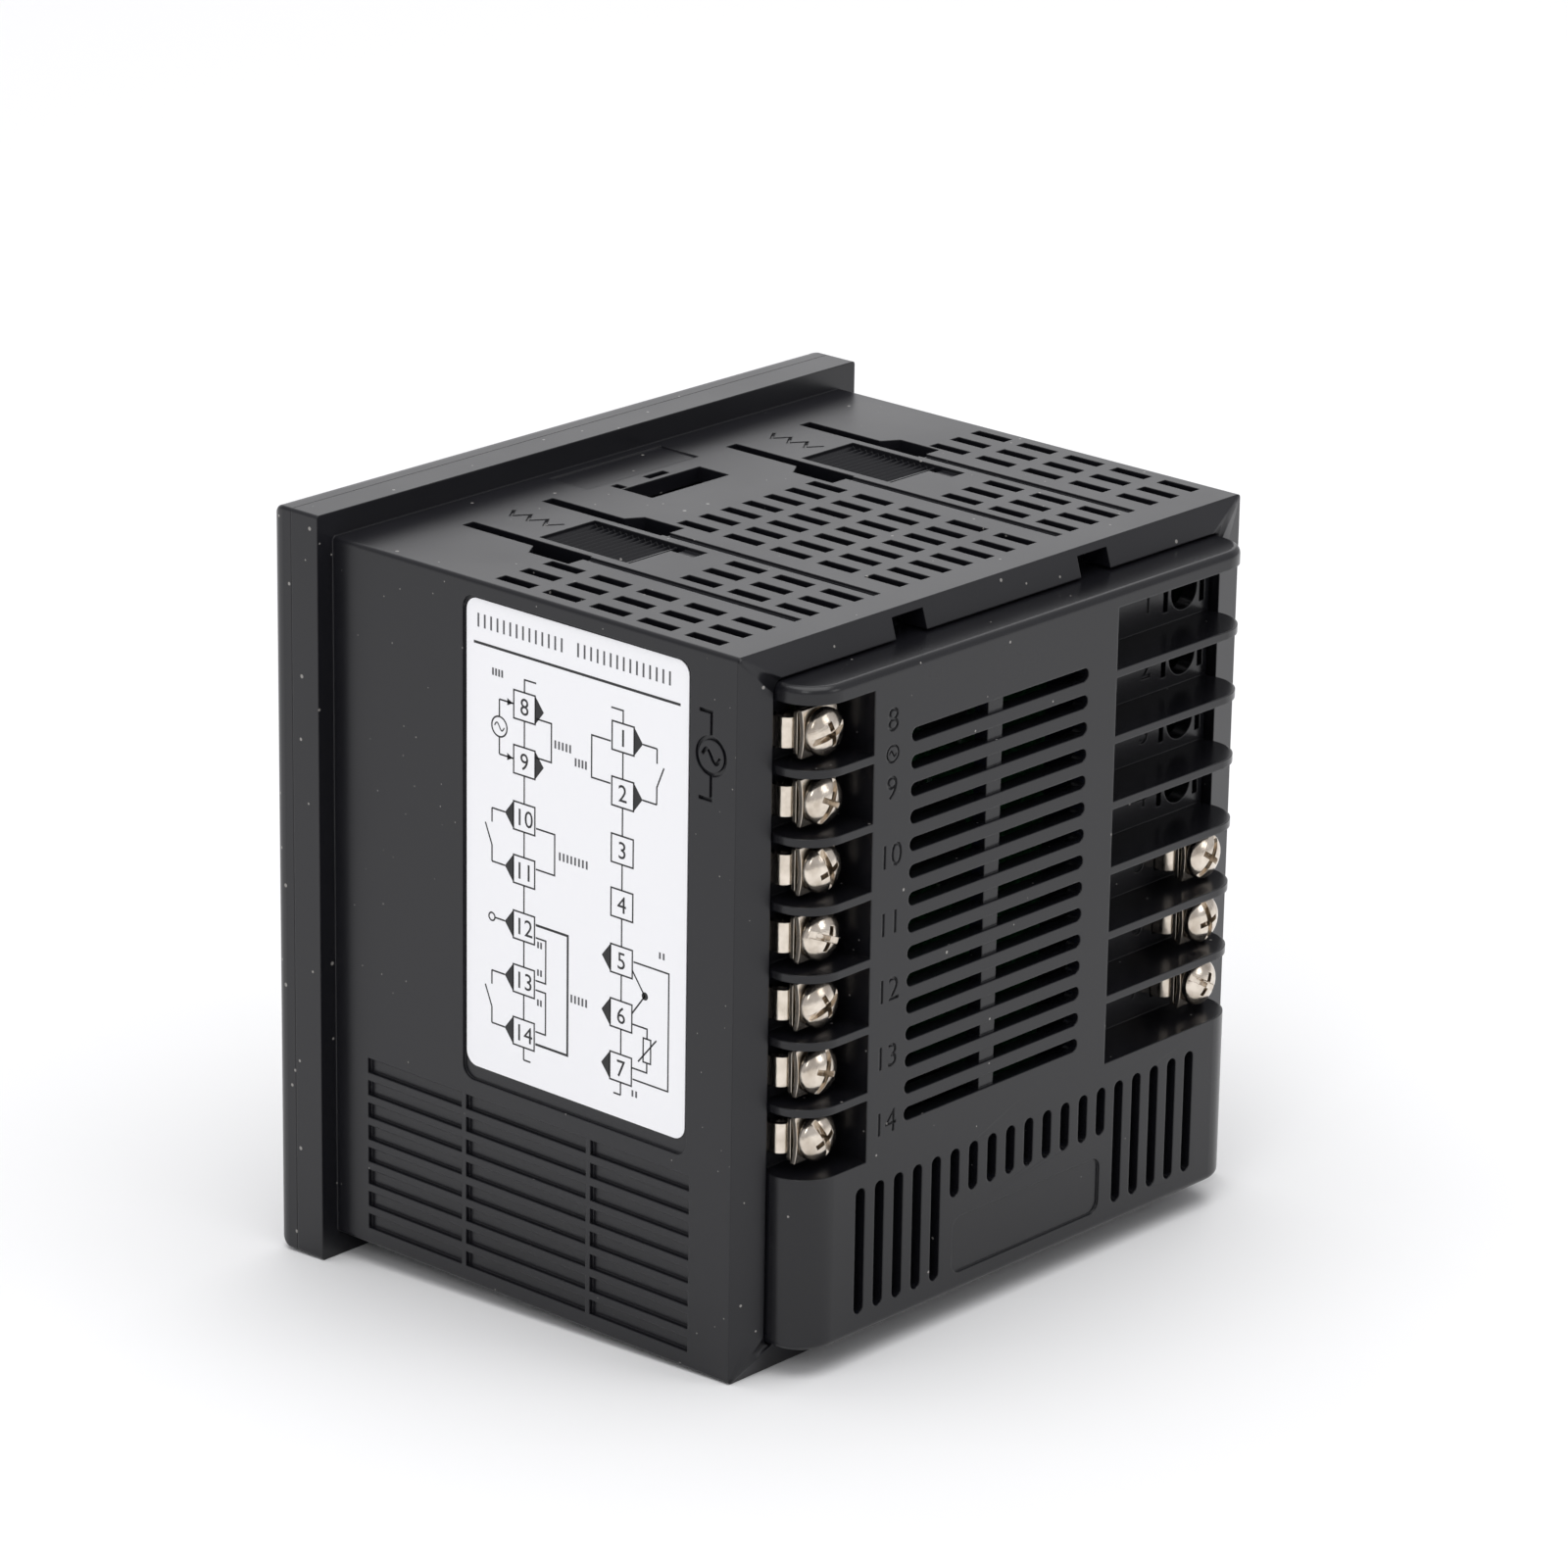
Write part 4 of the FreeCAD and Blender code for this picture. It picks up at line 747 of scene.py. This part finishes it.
# %% [markdown]
# ## Marks cut into the mould
# Marks on the case are a quarter of a millimetre deep: terminal numbers on the base and on
# the floors of the bays, a mains symbol on the side, and zigzags on top that show which way
# the panel brackets ratchet. A bump would do from far off, but cutting them out of the solid
# gives them real edges, so light falls into them as it does on the real case. The cut solid
# takes the CAD solid's place. A Boolean needs a closed surface, so the copy's doubled corner
# points are merged first.


# %% Engraving
def cut_out(thing, knife):
    """The mesh that is left of a thing when the knife is cut out of it."""
    cut = thing.modifiers.new("cut", "BOOLEAN")
    cut.operation = "DIFFERENCE"
    cut.solver = "EXACT"
    cut.use_self = True
    cut.object = knife
    bpy.context.view_layer.update()
    graph = bpy.context.evaluated_depsgraph_get()
    return bpy.data.meshes.new_from_object(thing.evaluated_get(graph), depsgraph=graph)


def merged(parts):
    """One shape out of several, each with its own place."""
    whole = bmesh.new()
    for part, place in parts:
        part.transform(place)
        mesh = bpy.data.meshes.new("part")
        part.to_mesh(mesh)
        part.free()
        whole.from_mesh(mesh)
        bpy.data.meshes.remove(mesh)
    return whole


def engraved(node, parts, finish):
    """A copy of a CAD node with the parts cut out of it, shown instead of the node."""
    shape = bmesh.new()
    shape.from_mesh(nodes[node].data)
    bmesh.ops.remove_doubles(shape, verts=shape.verts[:], dist=0.0005 * MM)
    copy = piece(node + "_engraved", shape, finish, body_of(nodes[node])[0])
    knife = new_object("knife", merged(parts))
    result = cut_out(copy, knife)
    bpy.data.objects.remove(knife)
    copy.modifiers.clear()
    copy.data = result
    # rounded faces keep their smooth shading, and take their edge's direction from the wall
    # beside them, so that the light runs on evenly
    copy.modifiers.new("even_light", "WEIGHTED_NORMAL").keep_sharp = True
    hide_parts(node)
    print(node, "engraved:", len(result.polygons), "faces")


DEPTH = 0.25
# a cutter starts this far outside its face, so that it cuts the face cleanly
ABOVE = 0.1
print("marks are", DEPTH, "mm deep")

# %% [markdown]
# The side's mark is the largest and the deepest. Its two stems end in feet, one above and
# one below the ring. A zigzag lies between each pair of bracket slots on top.

# %% Marks on the case
SIGN = (61.7, 32.3)
STEM = 0.45
side_marks = bmesh.new()
mains_sign(side_marks, SIGN, 2.2, wave=(1.4, 0.8), widths=(0.5, STEM), count=36)
across, middle = SIGN
for way in (1, -1):
    start, end = middle + way * 2.1, middle + way * 5.3
    ribbon(side_marks, [(across, start), (across, end), (across - 1.9, end)], STEM)
thicken(side_marks, -1.6 * DEPTH, ABOVE)

TRACKS = (-23.3, 23.3)
ZIG_START, ZIG_STEP = 7.6, 1.4
top_marks = bmesh.new()
for centre in TRACKS:
    sides = [centre + way for way in (-1.0, 1.0)]
    zigzag = [(sides[k % 2], ZIG_START + ZIG_STEP * k) for k in range(7)]
    ribbon(top_marks, zigzag, 0.4)
thicken(top_marks, -DEPTH, ABOVE)
engraved(
    "case_shell", [(side_marks, SIDE_WALL), (top_marks, TOP_WALL)], abs_case,
)

# %% [markdown]
# The left bank's numbers stand beside its screws, and the right bank's on the floors of its
# bays. Rows are 8.33 mm apart. Places on the rear are distances towards -X, because that is
# to the right for somebody behind the case.

# %% Marks on the terminal base
ROWS = range(7)


def row_height(row):
    """The middle of a row of terminals, counted from the top."""
    return 34.83 - 8.33 * row


FIGURE = 2.9
rear_marks = bmesh.new()
for row in ROWS:
    figures(rear_marks, str(8 + row), (-26.4, row_height(row)), FIGURE)
mains_sign(rear_marks, (-26.4, 30.6), 1.0, wave=(0.6, 0.35), widths=(0.25, 0.2), count=24)
thicken(rear_marks, -DEPTH, ABOVE)
floor_marks = bmesh.new()
for row in ROWS:
    figures(floor_marks, str(1 + row), (28.4, row_height(row)), FIGURE)
thicken(floor_marks, -DEPTH, ABOVE)
engraved(
    "terminal_base", [(rear_marks, REAR), (floor_marks, BAY_FLOOR)], abs_base,
)

# %% [markdown]
# ## Terminal screws
# Each screw is M3 with a 0.5 mm pitch. Its thread is rolled, so the flanks are smooth and the
# crests slightly rounded. A coil swept round the shank would have to be joined to it. But a
# thread is also a surface whose radius rises and falls once a pitch and moves up one pitch a
# turn, so a grid of points round the shank follows it directly, from end to head, in one skin.


# %% Thread
PITCH, CREST, GROOVE = 0.5, 1.45, 0.27
AROUND = 24
# the head's seat and the screw's end in the frame, measured towards the rear
SEAT, SCREW_END = 69.42, 62.6
POINT_RADIUS, POINT_LENGTH = 0.85, 0.6
# the thread begins and ends at these heights from the seat, and fades in and out over FADE
THREAD_LOW, THREAD_HIGH, FADE = -6.3, -0.5, 0.4


def ring(bm, radii, height):
    """A ring of points at one height: radii gives each point's distance from the axis."""
    turns = [2 * math.pi * step / AROUND for step in range(AROUND)]
    return [
        bm.verts.new((radius * math.cos(turn), radius * math.sin(turn), height))
        for radius, turn in zip(radii, turns)
    ]


def skin(bm, rings):
    """Faces between each ring and the next, and a cap on each end."""
    for lower, upper in zip(rings, rings[1:]):
        for step in range(AROUND):
            after = (step + 1) % AROUND
            bm.faces.new((lower[step], lower[after], upper[after], upper[step]))
    bm.faces.new(rings[0][::-1])
    bm.faces.new(rings[-1])


def thread_radii(height):
    """The thread's radius round a ring. It fades out at the screw's end and under its head."""
    room = min(height - THREAD_LOW, THREAD_HIGH - height)
    fade = min(1.0, max(0.0, room / FADE))
    radii = []
    for step in range(AROUND):
        phase = (height / PITCH - step / AROUND) % 1.0
        radii.append(CREST - GROOVE * abs(2 * phase - 1) * fade)
    return radii


screw_shape = bmesh.new()
rings = [ring(screw_shape, [POINT_RADIUS] * AROUND, SCREW_END - SEAT)]
heights = [SCREW_END - SEAT + POINT_LENGTH + PITCH / 4 * step for step in range(50)]
rings += [ring(screw_shape, thread_radii(height), height) for height in heights]
print("rings of thread:", len(rings))

# %% [markdown]
# The head is formed between dies: a flat seat, a short upright edge, and a crown that is
# part of a ball. It is the same skin carried on, with the radii of its profile. Where the
# ball's middle lies follows from how much the crown rises over the head's radius.

# %% Head
HEAD_RADIUS, HEAD_TOP, CROWN = 2.9, 1.98, 1.1
head = [(CREST, 0.0), (2.78, 0.0), (HEAD_RADIUS, 0.1), (HEAD_RADIUS, 0.72), (2.84, 0.86)]
ball = (HEAD_RADIUS**2 + CROWN**2) / (2 * CROWN)
for radius in (2.66, 2.4, 2.05, 1.65, 1.2, 0.7, 0.25):
    head.append((radius, HEAD_TOP - ball + math.sqrt(ball**2 - radius**2)))
rings += [ring(screw_shape, [radius] * AROUND, height) for radius, height in head]
skin(screw_shape, rings)
print("the crown's ball has a radius of", round(ball, 2), "mm")

# %% [markdown]
# A punch drives the slot and the cross into the head in one blow, so a Boolean with the
# punch's shape cuts them: one long bar, and two short, deeper ones whose sides lean in.

# %% Slot and cross
RECESSES = ((6.4, 0.8, 1.0), (3.6, 0.8, 1.6), (0.8, 3.6, 1.6))
TAPER = 0.62
punch = bmesh.new()
for long, wide, deep in RECESSES:
    made = bmesh.ops.create_cube(punch, size=1.0)["verts"]
    bmesh.ops.scale(punch, verts=made, vec=(long, wide, deep + 0.5))
    bmesh.ops.translate(punch, verts=made, vec=(0, 0, HEAD_TOP - deep + (deep + 0.5) / 2))
for vert in punch.verts:
    if vert.co.z < 0.5:
        vert.co.x *= TAPER
        vert.co.y *= TAPER
blank, tool = new_object("blank", screw_shape), new_object("tool", punch)
driven = cut_out(blank, tool)
for part in (blank, tool):
    bpy.data.objects.remove(part)
driven.name = "m3_pan_head"
driven.transform(Matrix.Scale(MM, 4))
driven.materials.clear()
driven.materials.append(nickel_screw)
driven.shade_smooth()
driven.set_sharp_from_angle(angle=math.radians(40))
print("one screw:", len(driven.polygons), "faces")

# %% [markdown]
# One mesh serves all ten screws, which saves work and memory. Each is turned a little
# further than the last, because every fitter leaves a screw where it happens to grip. It is
# drawn with its head up, and is laid down so that the head points to the rear.

# %% Ten screws
BANK = 35.3
terminals = {8 + row: (BANK, row_height(row)) for row in ROWS}
terminals.update({1 + row: (-BANK, row_height(row)) for row in (4, 5, 6)})
lay_down = Matrix.Rotation(math.radians(-90), 4, "X")
for number, (across, height) in terminals.items():
    screw = bpy.data.objects.new(f"detailed_screw_{number}", driven)
    place = Matrix.Translation((across * MM, SEAT * MM, height * MM))
    turned = Matrix.Rotation(math.radians(47 * number), 4, "Y")
    screw.matrix_world = place @ turned @ lay_down
    bpy.context.scene.collection.objects.link(screw)
    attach(screw, f"screw_{number}")
    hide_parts(f"terminal_screw_{number}")
print("screws:", len(terminals))

# %% [markdown]
# ## What sits on the boards
# The boards slide out with the front unit, so their parts are seen then, and glimpsed through
# the vents. They could be shown in full detail, but blocks, bars and domes in the right
# sizes and finishes read as components from a hand's breadth away. Shapes are in millimetres
# in the frame's own axes.


# %% Blocks and domes
def block(bm, low, high):
    """A box between two corners."""
    made = bmesh.ops.create_cube(bm, size=1.0)["verts"]
    size = [high[axis] - low[axis] for axis in range(3)]
    middle = [(high[axis] + low[axis]) / 2 for axis in range(3)]
    bmesh.ops.scale(bm, verts=made, vec=size)
    bmesh.ops.translate(bm, verts=made, vec=middle)


def dome(bm, centre, radius, away):
    """Half a ball of solder whose flat side lies on a board; away is the side it rises to."""
    made = bmesh.ops.create_icosphere(bm, subdivisions=2, radius=radius)["verts"]
    for vert in made:
        if vert.co.x * away < 0:
            vert.co.x *= 0.05
    bmesh.ops.translate(bm, verts=made, vec=centre)


def in_metres(bm):
    bm.transform(Matrix.Scale(MM, 4))
    return bm


# how far the boards' inner and outer faces are from the middle
INNER, OUTER = 34.5, 36.1
print("boards of", round(OUTER - INNER, 1), "mm")

# %% [markdown]
# The rear edge of each board carries a gold-flashed finger for each terminal, on both faces,
# which the terminal's fork grips as the unit is pushed home.

# %% Edge fingers
fingers = bmesh.new()
for side in (-1, 1):
    for row in ROWS:
        height = row_height(row)
        for face, rise in ((INNER, -0.03), (OUTER, 0.03)):
            near, far = sorted((side * face, side * (face + rise)))
            block(fingers, (near, 53.0, height - 1.6), (far, 59.6, height + 1.6))
piece("edge_fingers", in_metres(fingers), gold, "draw_out_unit")

# %% [markdown]
# Chip resistors and capacitors are placed by a machine on a grid, and each lies where its
# circuit wants it. A seeded choice of grid places gives that order without a plan, and the
# same one each time. Their bodies are dark and their ends tinned.

# %% Chip resistors
CHIP, END, RISE = 1.2, 0.35, 0.45
random.seed(7)
bodies, ends = bmesh.new(), bmesh.new()
for side in (-1, 1):
    places = [(6.5 + 5.2 * column, row) for column in range(8) for row in range(-34, 35, 6)]
    for along, height in random.sample(places, 34):
        near, far = sorted((side * OUTER, side * (OUTER + RISE)))
        top = height + CHIP
        block(bodies, (near, along, height), (far, along + CHIP, top))
        for shift in (-END, CHIP):
            start = along + shift
            block(ends, (near, start, height), (far, start + END, top))
piece("chip_resistors", in_metres(bodies), epoxy, "draw_out_unit")

# %% [markdown]
# The two square chips on one board's inner face have gull-wing legs: a foot that lies on the
# board, and a shoulder that rises to the chip's side. Eleven a side are drawn, 1 mm apart.

# %% Chip legs
legs = bmesh.new()
for low in (-12.0, 8.0):
    for step in range(11):
        along = 20.75 + step * 1.0
        for edge, reach in ((low, -1.1), (low + 12.0, 1.1)):
            start, end = sorted((edge, edge + reach))
            block(legs, (-INNER, along, start), (-INNER + 0.3, along + 0.4, end))
            start, end = sorted((edge, edge + reach * 0.4))
            block(legs, (-INNER + 0.2, along, start), (-INNER + 1.0, along + 0.4, end))
tinned = merged([(in_metres(legs), Matrix()), (in_metres(ends), Matrix())])
piece("chip_legs_and_ends", tinned, tin, "draw_out_unit")

# %% [markdown]
# Where the wires of relays, transformer and capacitors come through, solder stands up round
# them. It wets the copper and pulls itself into a dome, so half a ball is near enough.

# %% Solder joints
joints = bmesh.new()
wires = [
    (40.5 + 5.0 * step, low + 3.0 * row)
    for low in (-5.0, 16.0) for step in range(3) for row in (0, 4)
]
wires += [(12.5 + 5.0 * step, height) for height in (-33.0, -7.0) for step in range(5)]
wires += [(18.0, 22.0), (30.0, 22.0), (21.0, 22.0), (33.0, 22.0)]
for along, height in wires:
    dome(joints, (OUTER, along, height), 0.95, 1)
for height in range(-30, 31, 4):
    dome(joints, (-OUTER, 7.0, height), 0.75, -1)
piece("solder_joints", in_metres(joints), tin, "draw_out_unit", smooth=True)

# %% [markdown]
# A capacitor's sleeve leaves the aluminium top of its can bare, and has a pale stripe down
# the side of its negative wire. Both are thin pieces laid on the CAD node.

# %% Capacitors
tops, stripes = bmesh.new(), bmesh.new()
for along in (18.0, 30.0):
    stand = Matrix.Translation((14.48, along, 22.0)) @ Matrix.Rotation(math.pi / 2, 4, "Y")
    bmesh.ops.create_cone(
        tops, cap_ends=True, segments=32, radius1=4.3, radius2=4.3, depth=0.06, matrix=stand
    )
    block(stripes, (16.0, along - 1.2, 26.86), (33.5, along + 1.2, 27.04))
piece("capacitor_tops", in_metres(tops), aluminium, "draw_out_unit")
piece("capacitor_stripes", in_metres(stripes), stripe, "draw_out_unit")

# %% [markdown]
# ## The front
# The front can't be seen from behind, so it is plain: seven-segment digits that are unlit
# behind the window. A segment is a long hexagon, because neighbours then meet at 45 degrees.
# All figures show an 8 with a decimal point, which is every segment there is. They could be
# an image behind the window, but thin solids stay sharp and go with the meshes.


# %% Digits
def segment(bm, start, end, width):
    """A long hexagon from start to end."""
    a, b = Vector(start), Vector(end)
    along = (b - a).normalized() * width / 2
    across = Vector((-along.y, along.x))
    corners = (
        a, a + along - across, b - along - across, b, b - along + across, a + along + across
    )
    polygon(bm, [tuple(corner) for corner in corners])


def digit(bm, centre, height, width):
    """The seven segments of one figure and its decimal point, leaning by a tenth."""
    half, rise, gap, lean = height / 2, width / 2, 0.25, 0.1
    bars = [((-rise, level), (rise, level)) for level in (-half, 0, half)]
    bars += [
        ((side, start), (side, start + half)) for side in (-rise, rise) for start in (-half, 0)
    ]
    for start, end in bars:
        shrink = (Vector(end) - Vector(start)).normalized() * gap
        ends = [Vector(start) + shrink, Vector(end) - shrink]
        leaned = [(centre[0] + p.x + lean * p.y, centre[1] + p.y) for p in ends]
        segment(bm, leaned[0], leaned[1], height * 0.1)
    point = (centre[0] + rise + height * 0.14, centre[1] - half)
    polygon(bm, ring_points(point, height * 0.055, 12))


DIGITS_FACE = face_place((0, -4.4, 0), (1, 0, 0), (0, 0, 1))
for name, row, height, width, pitch, resin in (
    ("pv_digits", 23.5, 14.2, 7.2, 12.4, red_segment),
    ("sv_digits", 4.5, 9.6, 5.0, 9.8, green_segment),
):
    shapes = bmesh.new()
    for place in (-1.5, -0.5, 0.5, 1.5):
        digit(shapes, (place * pitch, row), height, width)
    bmesh.ops.recalc_face_normals(shapes, faces=shapes.faces[:])
    thicken(shapes, 0.0, 0.03)
    shapes.transform(DIGITS_FACE)
    piece(name, shapes, resin, "draw_out_unit")

# %% [markdown]
# Each key has a simple white symbol, a film of ink that moves with the key: a dot for set,
# and arrow heads for shift, down and up. A white line is printed round the window.

# %% Key symbols and window border
KEY_HEIGHT, KEY_PITCH = -29.0, 19.6
KEY_FACE = face_place((0, -8.3, 0), (1, 0, 0), (0, 0, 1))
SYMBOLS = {
    "key_set": ring_points((0, 0), 1.7),
    "key_shift": [(-1.8, 0), (1.4, -1.8), (1.4, 1.8)],
    "key_down": [(0, -1.6), (2.0, 1.4), (-2.0, 1.4)],
    "key_up": [(0, 1.6), (-2.0, -1.4), (2.0, -1.4)],
}
for index, (key, outline) in enumerate(SYMBOLS.items()):
    middle = (index - 1.5) * KEY_PITCH
    shape = bmesh.new()
    polygon(shape, [(middle + across, KEY_HEIGHT + up) for across, up in outline])
    thicken(shape, 0.0, INK_FILM)
    shape.transform(KEY_FACE)
    piece(key + "_symbol", shape, white_ink, key)

FILM_FACE = face_place((0, -7.7, 0), (1, 0, 0), (0, 0, 1))
border = bmesh.new()
ribbon(border, box_points(-37.0, -7.0, 37.0, 38.0), 0.35, closed=True)
thicken(border, 0.0, INK_FILM)
border.transform(FILM_FACE)
piece("window_border", border, white_ink, "draw_out_unit")

# %% [markdown]
# ## Floor
# The controller rests on the lower edge of its bezel and the lower rear edge of its case, so
# it leans back a little. The frame is the object's own, so it is the floor that tilts here,
# by the angle whose rise is the bezel's overhang below the case, over the case's depth. A
# large pale floor without a visible end gives soft reflections in the glossy plastic, as a
# studio's paper sweep does.

# %% Paper floor
BEZEL_HALF, CASE_HALF, CASE_DEPTH = 48.0, 44.9, 65.6
tilt = math.atan2(BEZEL_HALF - CASE_HALF, CASE_DEPTH)
paper = even_material("matt_paper", "#f4f4f4", 0.9, 2.0, 0.0, IOR=1.45)
sweep = bmesh.new()
bmesh.ops.create_grid(sweep, x_segments=1, y_segments=1, size=3.0)
# 0.05 mm of air keeps the floor from cutting the bezel's edge
down = Matrix.Translation((0, 0, -(BEZEL_HALF + 0.05) * MM))
sweep.transform(down @ Matrix.Rotation(tilt, 4, "X"))
floor = new_object("paper_floor", sweep)
floor.data.materials.append(paper)
print("floor tilted by", round(math.degrees(tilt), 2), "degrees")

# %% [markdown]
# ## Camera
# A long lens from about 0.85 m keeps the box's edges nearly parallel. The camera is set by
# the direction it looks from, its roll, and how far it stands off, which is easier to adjust
# than a position and three angles.

# %% Camera
azimuth, elevation, roll = (math.radians(angle) for angle in (131.969, 19.361, 0.911))
# millimetres to the right, up and back from the frame's origin, along the camera's own axes
shift_right, shift_up, stand_off = 23.899, 2.205, 853.9
back = Vector(
    (
        math.sin(azimuth) * math.cos(elevation),
        -math.cos(azimuth) * math.cos(elevation),
        math.sin(elevation),
    )
)
right = Vector((math.cos(azimuth), math.sin(azimuth), 0))
up = back.cross(right)
turned_right = right * math.cos(roll) + up * math.sin(roll)
turned_up = up * math.cos(roll) - right * math.sin(roll)
spot = (turned_right * shift_right + turned_up * shift_up + back * stand_off) * MM
lens = bpy.data.cameras.new("camera")
lens.lens = 155.6
lens.sensor_width = 36.0
lens.clip_start = 0.05
lens.clip_end = 20.0
camera = bpy.data.objects.new("camera", lens)
axes = Matrix((turned_right, turned_up, back)).transposed().to_4x4()
camera.matrix_world = Matrix.Translation(spot) @ axes
bpy.context.scene.collection.objects.link(camera)
bpy.context.scene.camera = camera
print("camera at", [round(value, 3) for value in spot])

# %% [markdown]
# ## Light
# Black plastic is mostly seen by what it reflects, so small lamps would show as spots on it.
# The light is broad instead: a white room all round, a large soft panel overhead that
# brightens the top, and one to each side. The upright faces reflect the room, and the low
# panel on the label's side keeps that face evenly dark. The Standard view keeps the whites
# of the label and of the paper white.

# %% Room and panels
scene = bpy.context.scene
scene.view_settings.view_transform = "Standard"
world = bpy.data.worlds.new("white_room")
world.use_nodes = True
room = world.node_tree.nodes["Background"]
room.inputs["Color"].default_value = (0.97, 0.97, 1.0, 1.0)
room.inputs["Strength"].default_value = 0.57
scene.world = world


def soft_panel(name, place, size, power):
    """A square area light that faces the middle of the object. Sizes are in metres."""
    light = bpy.data.lights.new(name, "AREA")
    light.shape = "SQUARE"
    light.size = size
    light.energy = power
    panel = bpy.data.objects.new(name, light)
    panel.location = place
    panel.rotation_euler = Vector(place).to_track_quat("Z", "Y").to_euler()
    scene.collection.objects.link(panel)
    print(name, "of", power, "watts")


soft_panel("overhead", (0.1, 0.2, 2.2), 2.4, 37.0)
soft_panel("behind", (-1.3, -1.15, 0.75), 1.3, 3.4)
soft_panel("terminal_side", (-0.5, 1.3, 0.6), 0.5, 1.6)
soft_panel("label_side", (1.3, 0.7, 1.0), 0.5, 2.8)
